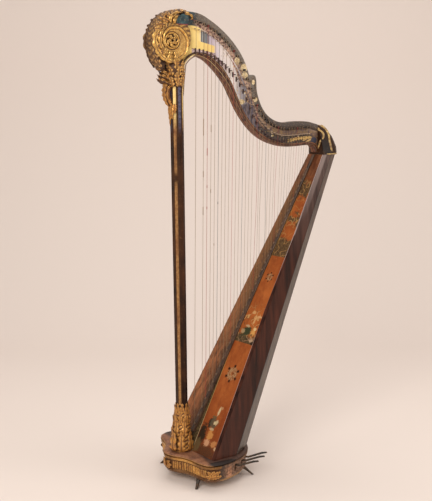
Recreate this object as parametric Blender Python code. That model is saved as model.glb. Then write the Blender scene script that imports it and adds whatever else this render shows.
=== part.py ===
# A single-action pedal harp of the late eighteenth century, as separate pieces at their real size.
# X runs from the column at the front to the soundbox at the player's side, Y to the player's right
# and Z up from the floor. Every place is given from the foot of the column, and one empty then
# moves the whole harp so that the origin lies on the floor under the middle of its length.

import math

import bmesh
import bpy
from mathutils import Matrix, Vector

# Clearances
SEAT = 0.0003
RUNNING = 0.0004

# Base: a shallow box with a serpentine front, open walls for seven pedals and four splayed feet
BASE_BOTTOM_Z = 0.030
RIM_TOP_Z = 0.0875
DECK_TOP_Z = 0.0985
RIM_WALL = 0.018
RIM_FLARE = 0.010
RECESS_SLOPE = 0.002
BOARD_THICKNESS = 0.008
OUTLINE_STEPS = 3
FOOT_TOP_R = 0.0085
FOOT_TIP_R = 0.0045
FRONT_FEET = (0.004, 0.118)
FRONT_SPLAY = (-0.022, 0.022)
REAR_FEET = (0.192, 0.098)
REAR_SPLAY = (0.030, 0.020)
CARVING_PROUD = 0.0055

# Pedals, named for the notes they raise, from the player's left to the player's right
NOTES = ("d", "c", "b", "e", "f", "g", "a")
SLOT_X = (0.132, 0.166, 0.200, 0.200, 0.166, 0.132, 0.098)
PEDAL_PIVOT_X = -0.036
PEDAL_PIVOT_Z = 0.055
PEDAL_PIN_R = 0.0022
PEDAL_REST_Z = 0.0715
PEDAL_R = 0.0034
PEDAL_REACH = 0.070
PEDAL_RISE = math.radians(7)
PEDAL_TRAVEL = math.radians(5.5)
BLADE_PITCH = 0.0039
BLADE_THICKNESS = 0.0024
BLADE_HEIGHT = 0.011
BLADE_END_X = 0.026
BLADE_STAGGER = 0.008
SLOT_HALF_WIDTH = 0.0060
SPRING_WIDTH = 0.0050
SPRING_THICKNESS = 0.0012
ROD_R = 0.0012

# Column: a hollow fluted shaft that leans slightly forward at the top
COLUMN_FOOT_R = 0.0205
COLUMN_TOP_R = 0.0232
COLUMN_TOP_Z = 1.4305
COLUMN_LEAN = 0.0125
COLUMN_BORE_R = 0.0142
FLUTES = 8
FLUTE_DEPTH = 0.0028
FLUTE_START_Z = 0.262
FLUTE_END_Z = 1.322
# Carving at the column's foot: rise, radius, depth of the lobes and forward shift
FOOT_LEAVES = [(0, 0.0415, 0.0020, 0.002), (0.010, 0.0430, 0.0030, 0.002), (0.026, 0.0390, 0.0025, 0.001),
               (0.048, 0.0365, 0.0025, 0), (0.075, 0.0330, 0.0015, 0), (0.105, 0.0300, 0.0015, 0),
               (0.135, 0.0258, 0.0008, 0), (0.150, 0.0228, 0.0002, 0)]
# The capital: drop below the column's top, radius, depth of the lobes and forward shift
CAPITAL_LEAVES = [(0.068, 0.0262, 0.0004, 0), (0.060, 0.0290, 0.0016, 0.001),
                  (0.046, 0.0295, 0.0020, 0.004),
                  (0.032, 0.0315, 0.0025, 0.007), (0.018, 0.0350, 0.0030, 0.011),
                  (0.005, 0.0345, 0.0025, 0.012), (0, 0.0340, 0.0020, 0.011)]
# The leaf in front of the column's top: drop of its lower end, then reach and rise from there
CONSOLE_DROP = 0.128
CONSOLE_ROUTE = [(0.0260, 0.0880), (0.0205, 0.0740), (0.0220, 0.0500), (0.0200, 0.0260), (0.0145, 0.0095),
                 (0.0070, 0.0008)]
CONSOLE_R = 0.0085
CONSOLE_WIDTH = 0.031

# Soundbox: a staved back under a tapering soundboard
BOARD_LEAN = math.radians(27.5)
BOARD_FOOT_X = 0.0145
BOX_BEYOND_STRINGS = 0.0575
BOX_HALF_WIDTH_FOOT = 0.163
BOX_HALF_WIDTH_TOP = 0.0460
BOX_WAIST = 0.001
BOX_DEPTH_FOOT = 0.204
BOX_DEPTH_TOP = 0.077
# Corners of the staved back, as shares of its depth and of its half width
STAVE_CORNERS = [(0, 1), (0.46, 0.93), (0.88, 0.48), (0.88, -0.48), (0.46, -0.93), (0, -1)]
STAVE_WALL = 0.005
CROWN_FOOT = 0.0215
CROWN_TOP = 0.0035
SOUNDBOARD_THICKNESS = 0.0035
RIB_HALF_WIDTH_FOOT = 0.0125
RIB_HALF_WIDTH_TOP = 0.0065
RIB_THICKNESS = 0.0060
RIB_START_Z = 0.1580
KNOT_STRIP_WIDTH = 0.0070
KNOT_STRIP_THICKNESS = 0.0022
# Height, distance from the middle and radius of each ring of sound holes
SOUND_HOLES = [(0.369, 0.069, 0.0280), (0.700, 0.046, 0.0160)]
SOUND_HOLE_R = 0.0030
BLOCK_FOOT = 0.020
BLOCK_TOP = 0.030
BACK_RIB = 0.012
INNER_BAR = 0.007

# Neck: its left face carries the pins and hooks, and lies just right of the strings
NECK_LEFT_Y = -0.010
NECK_THICKNESS = 0.042
NECK_END_X = 0.5610
NECK_FRONT_X = -0.038
SHOULDER_OVERHANG = 0.0060
COVER_THICKNESS = 0.003

# Scroll head
HEAD_X = -0.031
HEAD_Z = 1.529
HEAD_R = 0.0830
# Outlines of the scroll and of the leafwork round it: angle in degrees, and reach as a share of HEAD_R
HEAD_SHAPE = [(0, 0.70), (42, 0.78), (68, 0.96), (92, 1.085), (128, 1.01), (155, 0.97), (180, 1.00),
              (205, 0.97), (232, 0.90), (262, 0.84), (300, 0.75), (335, 0.70)]
CREST_SHAPE = [(58, 1.385), (74, 1.285), (93, 1.205), (110, 1.160), (129, 1.127), (150, 1.085),
               (168, 1.105),
               (180, 1.120), (198, 1.110), (215, 1.250), (232, 1.330), (247, 1.480)]
HEAD_HALF_WIDTH = 0.031
VOLUTE_RELIEF = 0.009
CREST_LOBE = 0.0040
CREST_HALF_WIDTH = 0.036

# Strings: the lowest is a G next to the column
STRINGS = 37
FIRST_STRING_X = 0.049
BASS_SPACING = 0.0152
TREBLE_SPACING = 0.0108
STRING_Y = -0.0215
BASS_STRING_R = 0.0009
TREBLE_STRING_R = 0.0004
STRING_NOTES = ("g", "a", "b", "c", "d", "e", "f")
TUNING_PIN_R = 0.0026
TUNING_PIN_LEFT = 0.010
TUNING_PIN_RIGHT = 0.022
NUT_RAIL_WIDTH = 0.0060
NUT_RAIL_THICKNESS = 0.0016
NUT_R = 0.0022
HOOK_R = 0.0014
HOOK_ARM = 0.0085
HOOK_TRAVEL = 0.0040
PEG_SHANK_R = 0.0026
PEG_HEIGHT = 0.0040
LINK_SIZE = 0.0014
LINK_PITCH = 0.0025
LINK_FIRST = 0.0050
LINK_Y = 0.0100
LINK_DROP = 0.0065
CHANNEL_Y = 0.0060

# Colours of the finishes
LACQUER = (0.035, 0.022, 0.016)
GILT = (0.72, 0.45, 0.14)
RED_WOOD = (0.20, 0.075, 0.045)
BOARD_RED = (0.42, 0.13, 0.035)
PLAIN_WOOD = (0.45, 0.30, 0.17)
IRON = (0.10, 0.09, 0.08)
BRASS = (0.60, 0.42, 0.18)
GUT = (0.70, 0.60, 0.45)

# Clean start, one collection for the harp and one for its cutters
for old in list(bpy.data.objects):
    bpy.data.objects.remove(old, do_unlink=True)
harp = bpy.data.collections.new("pedal_harp")
cutters = bpy.data.collections.new("cutters")
bpy.context.scene.collection.children.link(harp)
bpy.context.scene.collection.children.link(cutters)

frame = bpy.data.objects.new("harp_frame", None)
harp.objects.link(frame)


def material(name, colour, roughness, metallic):
    """A finish as a Principled BSDF."""
    made = bpy.data.materials.get(name)
    if made is None:
        made = bpy.data.materials.new(name)
        made.use_nodes = True
        shader = made.node_tree.nodes["Principled BSDF"]
        shader.inputs["Base Color"].default_value = (*colour, 1)
        shader.inputs["Roughness"].default_value = roughness
        shader.inputs["Metallic"].default_value = metallic
    return made


def add_part(name, mesh, finish, smooth=False, collection=harp):
    """Put a mesh in the harp as the named piece, shaded smooth where it is round."""
    piece = bpy.data.objects.new(name, mesh)
    collection.objects.link(piece)
    piece.parent = frame
    mesh.materials.clear()
    mesh.materials.append(finish)
    if smooth:
        mesh.shade_smooth()
        mesh.set_sharp_from_angle(angle=math.radians(35))
    return piece


def add_bmesh(name, shape, finish, smooth=False, collection=harp):
    """Close a bmesh and put it in the harp."""
    bmesh.ops.recalc_face_normals(shape, faces=shape.faces)
    mesh = bpy.data.meshes.new(name)
    shape.to_mesh(mesh)
    shape.free()
    return add_part(name, mesh, finish, smooth, collection)


def loft(shape, rings, closed=False):
    """Join rings of points, each with the same count, into one skin: capped, or closed on itself."""
    rows = [[shape.verts.new(point) for point in ring] for ring in rings]
    count = len(rows[0])
    pairs = list(zip(rows, rows[1:]))
    if closed:
        pairs.append((rows[-1], rows[0]))
    for low, high in pairs:
        for i in range(count):
            j = (i + 1) % count
            shape.faces.new((low[i], low[j], high[j], high[i]))
    if not closed:
        shape.faces.new(list(reversed(rows[0])))
        shape.faces.new(rows[-1])


def smooth_path(points, steps, closed=False):
    """Points of a Catmull-Rom curve through the given ones."""
    count = len(points)
    spans = count if closed else count - 1
    path = []
    for i in range(spans):
        if closed:
            a, b, c, d = (Vector(points[(i + k) % count]) for k in (-1, 0, 1, 2))
        else:
            b, c = Vector(points[i]), Vector(points[i + 1])
            a = Vector(points[i - 1]) if i > 0 else 2 * b - c
            d = Vector(points[i + 2]) if i + 2 < count else 2 * c - b
        for k in range(steps):
            t = k / steps
            path.append(0.5 * (2 * b + (c - a) * t + (2 * a - 5 * b + 4 * c - d) * t * t
                               + (3 * b - 3 * c + d - a) * t ** 3))
    if not closed:
        path.append(Vector(points[-1]))
    return path


def curve_mesh(name, splines, radius, sides_level, radii=None):
    """Tubes with filled caps along straight-sided paths, one closed tube for each path."""
    curve = bpy.data.curves.new(name, "CURVE")
    curve.dimensions = "3D"
    curve.bevel_depth = radius
    curve.bevel_resolution = sides_level
    curve.use_fill_caps = True
    for n, points in enumerate(splines):
        spline = curve.splines.new("POLY")
        spline.points.add(len(points) - 1)
        for k, point in enumerate(points):
            spline.points[k].co = (*point, 1)
            spline.points[k].radius = radii[n][k] if radii else 1
    return mesh_of_curve(curve)


def flat_mesh(name, outlines, thickness):
    """A flat plate in the XZ plane, centred on Y = 0: the first outline, with the others cut out."""
    curve = bpy.data.curves.new(name, "CURVE")
    curve.dimensions = "2D"
    curve.fill_mode = "BOTH"
    curve.extrude = thickness / 2
    for points in outlines:
        spline = curve.splines.new("POLY")
        spline.points.add(len(points) - 1)
        for k, (x, z) in enumerate(points):
            spline.points[k].co = (x, z, 0, 1)
        spline.use_cyclic_u = True
    mesh = mesh_of_curve(curve)
    mesh.transform(Matrix.Rotation(math.radians(90), 4, "X"))
    return mesh


def mesh_of_curve(curve):
    """The curve's surface as a mesh with its caps welded on."""
    holder = bpy.data.objects.new(curve.name + "_path", curve)
    bpy.context.scene.collection.objects.link(holder)
    graph = bpy.context.evaluated_depsgraph_get()
    mesh = bpy.data.meshes.new_from_object(holder.evaluated_get(graph))
    bpy.data.objects.remove(holder, do_unlink=True)
    shape = bmesh.new()
    shape.from_mesh(mesh)
    bmesh.ops.remove_doubles(shape, verts=shape.verts, dist=0.00001)
    bmesh.ops.recalc_face_normals(shape, faces=shape.faces)
    shape.to_mesh(mesh)
    shape.free()
    return mesh


def circle(radius, count, turn=0.0):
    """Points of a regular polygon."""
    return [(radius * math.cos(turn + 2 * math.pi * i / count),
             radius * math.sin(turn + 2 * math.pi * i / count)) for i in range(count)]


def combine(piece, tool_mesh, name, operation):
    """Take a tool's shape out of a piece, or join it on."""
    tool = add_part(name, tool_mesh, material("cutter", (1, 1, 1), 0.5, 0), collection=cutters)
    tool.hide_render = True
    tool.display_type = "WIRE"
    modifier = piece.modifiers.new(name, "BOOLEAN")
    modifier.operation = operation
    modifier.solver = "EXACT"
    modifier.object = tool


def cut(piece, tool_mesh, name):
    combine(piece, tool_mesh, name, "DIFFERENCE")


def join(piece, tool_mesh, name):
    combine(piece, tool_mesh, name, "UNION")


def new_mesh(name, shape):
    """A bmesh as a plain mesh, for a cutter."""
    bmesh.ops.recalc_face_normals(shape, faces=shape.faces)
    mesh = bpy.data.meshes.new(name)
    shape.to_mesh(mesh)
    shape.free()
    return mesh


def add_box(shape, low, high):
    """A box between two corners."""
    middle = (Vector(low) + Vector(high)) / 2
    size = Vector(high) - Vector(low)
    place = Matrix.Translation(middle) @ Matrix.Diagonal((*size, 1))
    bmesh.ops.create_cube(shape, size=1, matrix=place)


lacquer = material("black_lacquer", LACQUER, 0.35, 0)
gilt = material("gilt", GILT, 0.35, 0.8)
red_wood = material("red_brown_wood", RED_WOOD, 0.45, 0)
board_red = material("painted_board", BOARD_RED, 0.5, 0)
plain_wood = material("plain_wood", PLAIN_WOOD, 0.6, 0)
iron = material("iron", IRON, 0.5, 0.9)
brass = material("brass", BRASS, 0.35, 0.9)
gut = material("gut", GUT, 0.5, 0)


# Base outline

# Half of the rim's outline, from the middle of the bowed front, past the left corner, to the back
BASE_HALF = [(-0.070, 0.000), (-0.058, 0.037), (-0.034, 0.070), (-0.021, 0.106), (-0.013, 0.146),
             (0.002, 0.180), (0.036, 0.195), (0.084, 0.190), (0.128, 0.173), (0.170, 0.146),
             (0.208, 0.106), (0.236, 0.056), (0.246, 0.000)]


def base_outline(inset):
    """The base's outline, moved inwards along its normals."""
    half = [Vector((x, -y)) for x, y in BASE_HALF]
    other = [Vector((x, y)) for x, y in BASE_HALF[-2:0:-1]]
    path = smooth_path(half + other, OUTLINE_STEPS, closed=True)
    moved = []
    for i, point in enumerate(path):
        along = path[(i + 1) % len(path)] - path[i - 1]
        normal = Vector((-along.y, along.x)).normalized()
        moved.append(point + inset * normal)
    return moved


def base_ring(inset, z):
    """One level of the base."""
    return [(p.x, p.y, z) for p in base_outline(inset)]


def wall_point(x, side):
    """The point of the outline's rear half at this X, on the left (-1) or right (1)."""
    path = base_outline(0)
    best = min((p for p in path if p.y * side >= 0 and p.x > BASE_HALF[6][0]),
               key=lambda p: abs(p.x - x))
    return best


def pedal_side(index):
    """Left pedals are the first three, right pedals the other four."""
    return -1 if index < 3 else 1


def pedal_path(index):
    """The pedal bar's centre line: blade, inner arm, wall, and the part that the foot presses. The
    outer blades turn off first, so that the arms fan out."""
    y = (index - 3) * BLADE_PITCH
    side = pedal_side(index)
    wall = wall_point(SLOT_X[index], side)
    bend_x = BLADE_END_X + BLADE_STAGGER * (3 - abs(index - 3))
    inner = Vector((bend_x, y))
    heading = (wall - inner).normalized()
    entry = wall - heading * (RIM_WALL + 0.012)
    leave = wall + heading * 0.006
    outward = Vector((1, 0.30 * wall.y / BASE_HALF[6][1])).normalized()
    reach = PEDAL_REACH
    tip = leave + outward * reach * math.cos(PEDAL_RISE)
    rise = reach * math.sin(PEDAL_RISE)
    return [Vector((PEDAL_PIVOT_X - 0.007, y, PEDAL_PIVOT_Z)),
            Vector((bend_x, y, PEDAL_PIVOT_Z)),
            Vector((entry.x, entry.y, PEDAL_REST_Z)),
            Vector((leave.x, leave.y, PEDAL_REST_Z)),
            Vector((tip.x - outward.x * 0.018, tip.y - outward.y * 0.018, PEDAL_REST_Z + rise)),
            Vector((tip.x, tip.y, PEDAL_REST_Z + rise))]


def bar(shape, path, widths, heights):
    """A bar with an eight-sided section that turns only in plan, as wide and high as told."""
    rings = []
    for k, point in enumerate(path):
        before = path[max(k - 1, 0)]
        after = path[min(k + 1, len(path) - 1)]
        ahead = Vector((after.x - before.x, after.y - before.y, 0)).normalized()
        across = Vector((-ahead.y, ahead.x, 0))
        half_w, half_h = widths[k] / 2, heights[k] / 2
        bevel_w, bevel_h = half_w * 0.42, half_h * 0.42
        corners = [(half_w, -bevel_h), (half_w, bevel_h), (bevel_w, half_h), (-bevel_w, half_h),
                   (-half_w, bevel_h), (-half_w, -bevel_h), (-bevel_w, -half_h), (bevel_w, -half_h)]
        rings.append([point + across * a + Vector((0, 0, b)) for a, b in corners])
    loft(shape, rings)


# Rim of the base

def build_rim():
    shape = bmesh.new()
    outer = [(RIM_FLARE + 0.002, BASE_BOTTOM_Z), (RIM_FLARE - 0.004, BASE_BOTTOM_Z + 0.008),
             (RIM_FLARE, BASE_BOTTOM_Z + 0.014), (RIM_FLARE - RECESS_SLOPE, RIM_TOP_Z - 0.013),
             (0.001, RIM_TOP_Z - 0.008), (0.0, RIM_TOP_Z)]
    rings = [base_ring(inset, z) for inset, z in outer]
    rings += [base_ring(RIM_WALL, RIM_TOP_Z), base_ring(RIM_WALL, BASE_BOTTOM_Z)]
    loft(shape, rings, closed=True)
    rim = add_bmesh("base_rim", shape, gilt)
    slots = bmesh.new()
    for index in range(len(NOTES)):
        path = pedal_path(index)
        wall = (path[2] + path[3]) / 2
        ahead = (path[3] - path[2]).normalized()
        drop = (wall.x + 0.02 - PEDAL_PIVOT_X) * math.tan(PEDAL_TRAVEL)
        low = PEDAL_REST_Z - PEDAL_R - drop - 0.002
        high = PEDAL_REST_Z + PEDAL_R + 0.0012
        place = (Matrix.Translation((wall.x, wall.y, (low + high) / 2))
                 @ Matrix.Rotation(math.atan2(ahead.y, ahead.x), 4, "Z")
                 @ Matrix.Diagonal((0.060, 2 * SLOT_HALF_WIDTH, high - low, 1)))
        bmesh.ops.create_cube(slots, size=1, matrix=place)
    cut(rim, new_mesh("pedal_slots", slots), "pedal_slots")


def build_deck():
    shape = bmesh.new()
    levels = [(0.006, RIM_TOP_Z + SEAT), (0.001, RIM_TOP_Z + 0.005), (0.010, DECK_TOP_Z)]
    loft(shape, [base_ring(inset, z) for inset, z in levels])
    deck = add_bmesh("base_deck", shape, red_wood)
    hole = bmesh.new()
    bmesh.ops.create_cone(hole, cap_ends=True, segments=16, radius1=COLUMN_BORE_R,
                          radius2=COLUMN_BORE_R, depth=0.05,
                          matrix=Matrix.Translation((0, 0, DECK_TOP_Z)))
    cut(deck, new_mesh("rod_hole", hole), "rod_hole")


def build_rim_carving(name, start, end, lobes):
    """A carved leaf in the rim's recess, along a stretch of the outline, with a lobe for each leaf."""
    outer, upper = base_outline(RIM_FLARE - 2 * SEAT), base_outline(RIM_FLARE - RECESS_SLOPE - 2 * SEAT)
    face = base_outline(-CARVING_PROUD)
    low, high = BASE_BOTTOM_Z + 0.0145, RIM_TOP_Z - 0.0135
    count = (end - start) % len(outer)
    rings = []
    for k in range(count + 1):
        place = (start + k) % len(outer)
        back, top, front = outer[place], upper[place], face[place]
        swell = 0.55 + 0.45 * abs(math.sin(math.pi * lobes * k / count))
        ends = min(1, 0.45 + 2.2 * min(k, count - k) / count)
        crest = back.lerp(front, swell * ends)
        shoulder = back.lerp(front, 0.55 * swell * ends)
        middle = (low + high) / 2
        rings.append([(back.x, back.y, low), (top.x, top.y, high), (shoulder.x, shoulder.y, high),
                      (crest.x, crest.y, middle + 0.006), (crest.x, crest.y, middle - 0.006),
                      (shoulder.x, shoulder.y, low)])
    shape = bmesh.new()
    loft(shape, rings)
    add_bmesh(name, shape, gilt)


def build_bottom_board():
    shape = bmesh.new()
    inset = RIM_WALL + SEAT
    loft(shape, [base_ring(inset, BASE_BOTTOM_Z), base_ring(inset, BASE_BOTTOM_Z + BOARD_THICKNESS)])
    add_bmesh("base_bottom_board", shape, plain_wood)


def build_feet():
    """Four turned feet that splay outwards, each flat on the floor and under the base."""
    turning = ((0, FOOT_TIP_R), (0.55, FOOT_TOP_R * 0.72), (0.85, FOOT_TOP_R), (1, FOOT_TOP_R))
    pairs = (("front", FRONT_FEET, FRONT_SPLAY), ("rear", REAR_FEET, REAR_SPLAY))
    for end, (x, y), (ahead, out) in pairs:
        for hand, side in (("left", -1), ("right", 1)):
            rings = []
            for t, r in turning:
                cx, cy = x + ahead * (1 - t), side * (y + out * (1 - t))
                z = t * (BASE_BOTTOM_Z - SEAT)
                rings.append([(cx + a, cy + b, z) for a, b in circle(r, 10)])
            shape = bmesh.new()
            loft(shape, rings)
            add_bmesh("foot_" + end + "_" + hand, shape, iron, smooth=True)


# Pedals, their pivot and springs

def build_pedals():
    for index, note in enumerate(NOTES):
        shape = bmesh.new()
        path = pedal_path(index)
        round_w = 2 * PEDAL_R
        widths = [BLADE_THICKNESS, BLADE_THICKNESS, round_w, round_w, round_w, round_w * 1.5]
        heights = [BLADE_HEIGHT, BLADE_HEIGHT, round_w, round_w, round_w, round_w * 0.6]
        bar(shape, path, widths, heights)
        pivot = Vector((PEDAL_PIVOT_X, 0, PEDAL_PIVOT_Z))
        bmesh.ops.translate(shape, verts=shape.verts, vec=-pivot)
        pedal = add_bmesh("pedal_" + note, shape, iron)
        pedal.location = pivot
        hole = bmesh.new()
        bmesh.ops.create_cone(hole, cap_ends=True, segments=12, radius1=PEDAL_PIN_R + RUNNING,
                              radius2=PEDAL_PIN_R + RUNNING, depth=BLADE_THICKNESS * 2,
                              matrix=Matrix.Translation((PEDAL_PIVOT_X, path[0].y, PEDAL_PIVOT_Z))
                              @ Matrix.Rotation(math.radians(90), 4, "X"))
        cut(pedal, new_mesh("pivot_hole_" + note, hole), "pivot_hole_" + note)


def build_pivot():
    """A wooden block with two cheeks on the bottom board, and the iron pin that all pedals share."""
    cheek = 0.006
    half = 3 * BLADE_PITCH + BLADE_THICKNESS / 2 + 0.0012
    floor_z = BASE_BOTTOM_Z + BOARD_THICKNESS + SEAT
    front, back = PEDAL_PIVOT_X - 0.0080, PEDAL_PIVOT_X + 0.009
    bed = PEDAL_PIVOT_Z - BLADE_HEIGHT / 2 - 0.004
    outline = [(-half - cheek, floor_z), (half + cheek, floor_z), (half + cheek, PEDAL_PIVOT_Z + 0.008),
               (half, PEDAL_PIVOT_Z + 0.008), (half, bed), (-half, bed),
               (-half, PEDAL_PIVOT_Z + 0.008), (-half - cheek, PEDAL_PIVOT_Z + 0.008)]
    shape = bmesh.new()
    loft(shape, [[(x, y, z) for y, z in outline] for x in (front, back)])
    block = add_bmesh("pedal_pivot_block", shape, plain_wood)
    sideways = Matrix.Rotation(math.radians(90), 4, "X")
    hole = bmesh.new()
    bmesh.ops.create_cone(hole, cap_ends=True, segments=12, radius1=PEDAL_PIN_R + SEAT * 1.1,
                          radius2=PEDAL_PIN_R + SEAT * 1.1, depth=4 * half,
                          matrix=Matrix.Translation((PEDAL_PIVOT_X, 0, PEDAL_PIVOT_Z)) @ sideways)
    cut(block, new_mesh("pin_hole", hole), "pin_hole")
    pin = bmesh.new()
    bmesh.ops.create_cone(pin, cap_ends=True, segments=12, radius1=PEDAL_PIN_R, radius2=PEDAL_PIN_R,
                          depth=2 * (half + cheek),
                          matrix=Matrix.Translation((PEDAL_PIVOT_X, 0, PEDAL_PIVOT_Z)) @ sideways)
    add_bmesh("pedal_pivot_pin", pin, iron, smooth=True)


def build_springs():
    """A comb of leaf springs on the bottom board: a common plate and one leaf up to each pedal."""
    low = BASE_BOTTOM_Z + BOARD_THICKNESS + SEAT
    thick = SPRING_THICKNESS
    shape = bmesh.new()
    half = 3 * BLADE_PITCH + SPRING_WIDTH
    add_box(shape, (BLADE_END_X - 0.012, -half, low), (BLADE_END_X + 0.020, half, low + 0.003))
    springs = add_bmesh("pedal_springs", shape, brass)
    for index, note in enumerate(NOTES):
        path = pedal_path(index)
        start, end = path[1], path[2]
        points = [Vector((BLADE_END_X + 0.004, start.y, low + thick / 2))]
        for share, lift in ((0.55, 0), (0.80, 0.35), (0.97, 1)):
            p = start.lerp(end, share)
            bed = low + thick / 2
            under = end.z - PEDAL_R - SEAT - thick
            points.append(Vector((p.x, p.y, bed + (under - bed) * lift)))
        leaf = bmesh.new()
        bar(leaf, points, [SPRING_WIDTH] * 4, [thick] * 4)
        join(springs, new_mesh("spring_leaf_" + note, leaf), "spring_leaf_" + note)


def column_centre(z):
    """The column's axis leans towards the front as it rises."""
    return -COLUMN_LEAN * (z - DECK_TOP_Z)


def build_rods():
    """Seven iron rods, side by side in the column, from the pedal blades to just under the head."""
    low = PEDAL_PIVOT_Z + BLADE_HEIGHT / 2 + SEAT
    high = COLUMN_TOP_Z - 0.006
    for index, note in enumerate(NOTES):
        y = (index - 3) * BLADE_PITCH
        points = [(column_centre(low), y, low), (column_centre(high), y, high)]
        mesh = curve_mesh("pedal_rod_" + note, [points], ROD_R, 1)
        add_part("pedal_rod_" + note, mesh, iron, smooth=True)


# Column

def column_radius(z):
    share = (z - DECK_TOP_Z) / (COLUMN_TOP_Z - DECK_TOP_Z)
    return COLUMN_FOOT_R + (COLUMN_TOP_R - COLUMN_FOOT_R) * share


def column_ring(z, depth):
    """The shaft's section: flutes of this depth, with flat fillets between them."""
    radius = column_radius(z)
    profile = (0, 0, 0.75, 1, 0.75, 0)
    ring = []
    for i in range(FLUTES * len(profile)):
        angle = 2 * math.pi * (i - 0.5) / (FLUTES * len(profile))
        r = radius - depth * profile[i % len(profile)]
        ring.append((column_centre(z) + r * math.cos(angle), r * math.sin(angle), z))
    return ring


def build_column():
    shape = bmesh.new()
    levels = [(DECK_TOP_Z + SEAT, 0), (FLUTE_START_Z, 0), (FLUTE_START_Z + 0.012, FLUTE_DEPTH),
              (FLUTE_END_Z - 0.012, FLUTE_DEPTH), (FLUTE_END_Z, 0), (COLUMN_TOP_Z, 0)]
    loft(shape, [column_ring(z, depth) for z, depth in levels])
    column = add_bmesh("column_shaft", shape, lacquer)
    bore = bmesh.new()
    loft(bore, [[(column_centre(z) + a, b, z) for a, b in circle(COLUMN_BORE_R, 16)]
                for z in (DECK_TOP_Z - 0.01, COLUMN_TOP_Z + 0.01)])
    cut(column, new_mesh("column_bore", bore), "column_bore")


def sleeve(name, levels, count, lobes, finish):
    """A carved sleeve round the column: levels of height, radius, lobe depth and forward shift."""
    inner = SEAT + 0.0002
    shape = bmesh.new()
    rings = []
    for z, radius, lobe, shift in levels:
        ring = []
        for i in range(count):
            angle = 2 * math.pi * i / count
            r = radius + lobe * math.cos(lobes * angle)
            ring.append((column_centre(z) - shift + r * math.cos(angle), r * math.sin(angle), z))
        rings.append(ring)
    for z in (levels[-1][0], levels[0][0]):
        bore = (column_radius(z) + inner) / math.cos(math.pi / count)
        rings.append([(column_centre(z) + a, b, z) for a, b in circle(bore, count)])
    loft(shape, rings, closed=True)
    return add_bmesh(name, shape, finish, smooth=True)


def build_column_carving():
    foot = DECK_TOP_Z + SEAT
    levels = [(foot + rise, r, lobe, shift) for rise, r, lobe, shift in FOOT_LEAVES]
    leaves = sleeve("column_foot_leaves", levels, 24, 6, gilt)
    behind = bmesh.new()
    reach = BOX_DEPTH_FOOT
    middle = Vector((board_centre(foot), 0, foot)) - BOARD_OUT * (reach / 2 - SEAT)
    lean = Matrix.Rotation(BOARD_LEAN, 4, "Y")
    place = Matrix.Translation(middle) @ lean @ Matrix.Diagonal((reach, reach, 2 * reach, 1))
    bmesh.ops.create_cube(behind, size=1, matrix=place)
    cut(leaves, new_mesh("board_plane", behind), "board_plane")
    sleeve("capital", [(COLUMN_TOP_Z - drop, r, lobe, shift) for drop, r, lobe, shift in CAPITAL_LEAVES],
           24, 6, gilt)


def build_console():
    """An open leaf scroll in front of the column's top, between the capital and the shaft."""
    end_z = COLUMN_TOP_Z - CONSOLE_DROP
    seat_x = column_centre(end_z) - column_radius(end_z) - SEAT
    route = [(seat_x - ahead, end_z + rise) for ahead, rise in CONSOLE_ROUTE] + [(seat_x, end_z)]
    path = smooth_path([(x, 0, z) for x, z in route], 3)
    count = len(path)
    radii = [[0.70 + 0.35 * math.sin(math.pi * k / (count - 1)) for k in range(count)]]
    mesh = curve_mesh("leaf_console", [path], CONSOLE_R, 2, radii)
    mesh.transform(Matrix.Diagonal((1, CONSOLE_WIDTH / CONSOLE_R / 2, 1, 1)))
    add_part("leaf_console", mesh, gilt, smooth=True)


# Stringing

BOARD_UP = Vector((math.sin(BOARD_LEAN), 0, math.cos(BOARD_LEAN)))
BOARD_OUT = Vector((-math.cos(BOARD_LEAN), 0, math.sin(BOARD_LEAN)))


def level_gap(distance):
    """A distance square to the soundboard, as it measures along the level."""
    return distance / math.cos(BOARD_LEAN)


def string_x(i):
    """The spacing narrows evenly from the bass to the treble."""
    step = (BASS_SPACING - TREBLE_SPACING) / (STRINGS - 2)
    return FIRST_STRING_X + i * BASS_SPACING - step * i * (i - 1) / 2


def string_r(i):
    share = i / (STRINGS - 1)
    return BASS_STRING_R + (TREBLE_STRING_R - BASS_STRING_R) * share


def board_z(x):
    """Height at which a string at this X meets the rib."""
    return DECK_TOP_Z + (x + level_gap(SEAT + RIB_THICKNESS) - BOARD_FOOT_X) / math.tan(BOARD_LEAN)


def fitted(points):
    """Points of the neck, drawn for a row of tuning pins, moved to the strings' real span. They go
    along the neck with the strings and rise with the soundboard, so the strings keep their lengths."""
    drawn_span = PIN_ROW[-1][0] - FIRST_STRING_X
    stretch = (string_x(STRINGS - 1) - FIRST_STRING_X) / drawn_span
    moved = []
    for x, z in points:
        shift = min(max(x - FIRST_STRING_X, 0), drawn_span) * (stretch - 1)
        moved.append((x + shift, z + shift / math.tan(BOARD_LEAN)))
    return moved


# Soundbox

box_top_z = board_z(string_x(STRINGS - 1)) + BOX_BEYOND_STRINGS


def box_share(z):
    return (z - DECK_TOP_Z) / (box_top_z - DECK_TOP_Z)


def board_centre(z):
    """X of the soundboard's front surface on its centre line."""
    return BOARD_FOOT_X + (z - DECK_TOP_Z) * math.tan(BOARD_LEAN)


def half_width(z):
    share = box_share(z)
    straight = BOX_HALF_WIDTH_FOOT + (BOX_HALF_WIDTH_TOP - BOX_HALF_WIDTH_FOOT) * share
    return straight - 4 * BOX_WAIST * share * (1 - share)


def crown(z):
    return (CROWN_FOOT + (CROWN_TOP - CROWN_FOOT) * box_share(z)) / math.cos(BOARD_LEAN)


def depth(z):
    return (BOX_DEPTH_FOOT + (BOX_DEPTH_TOP - BOX_DEPTH_FOOT) * box_share(z)) / math.cos(BOARD_LEAN)


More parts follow.
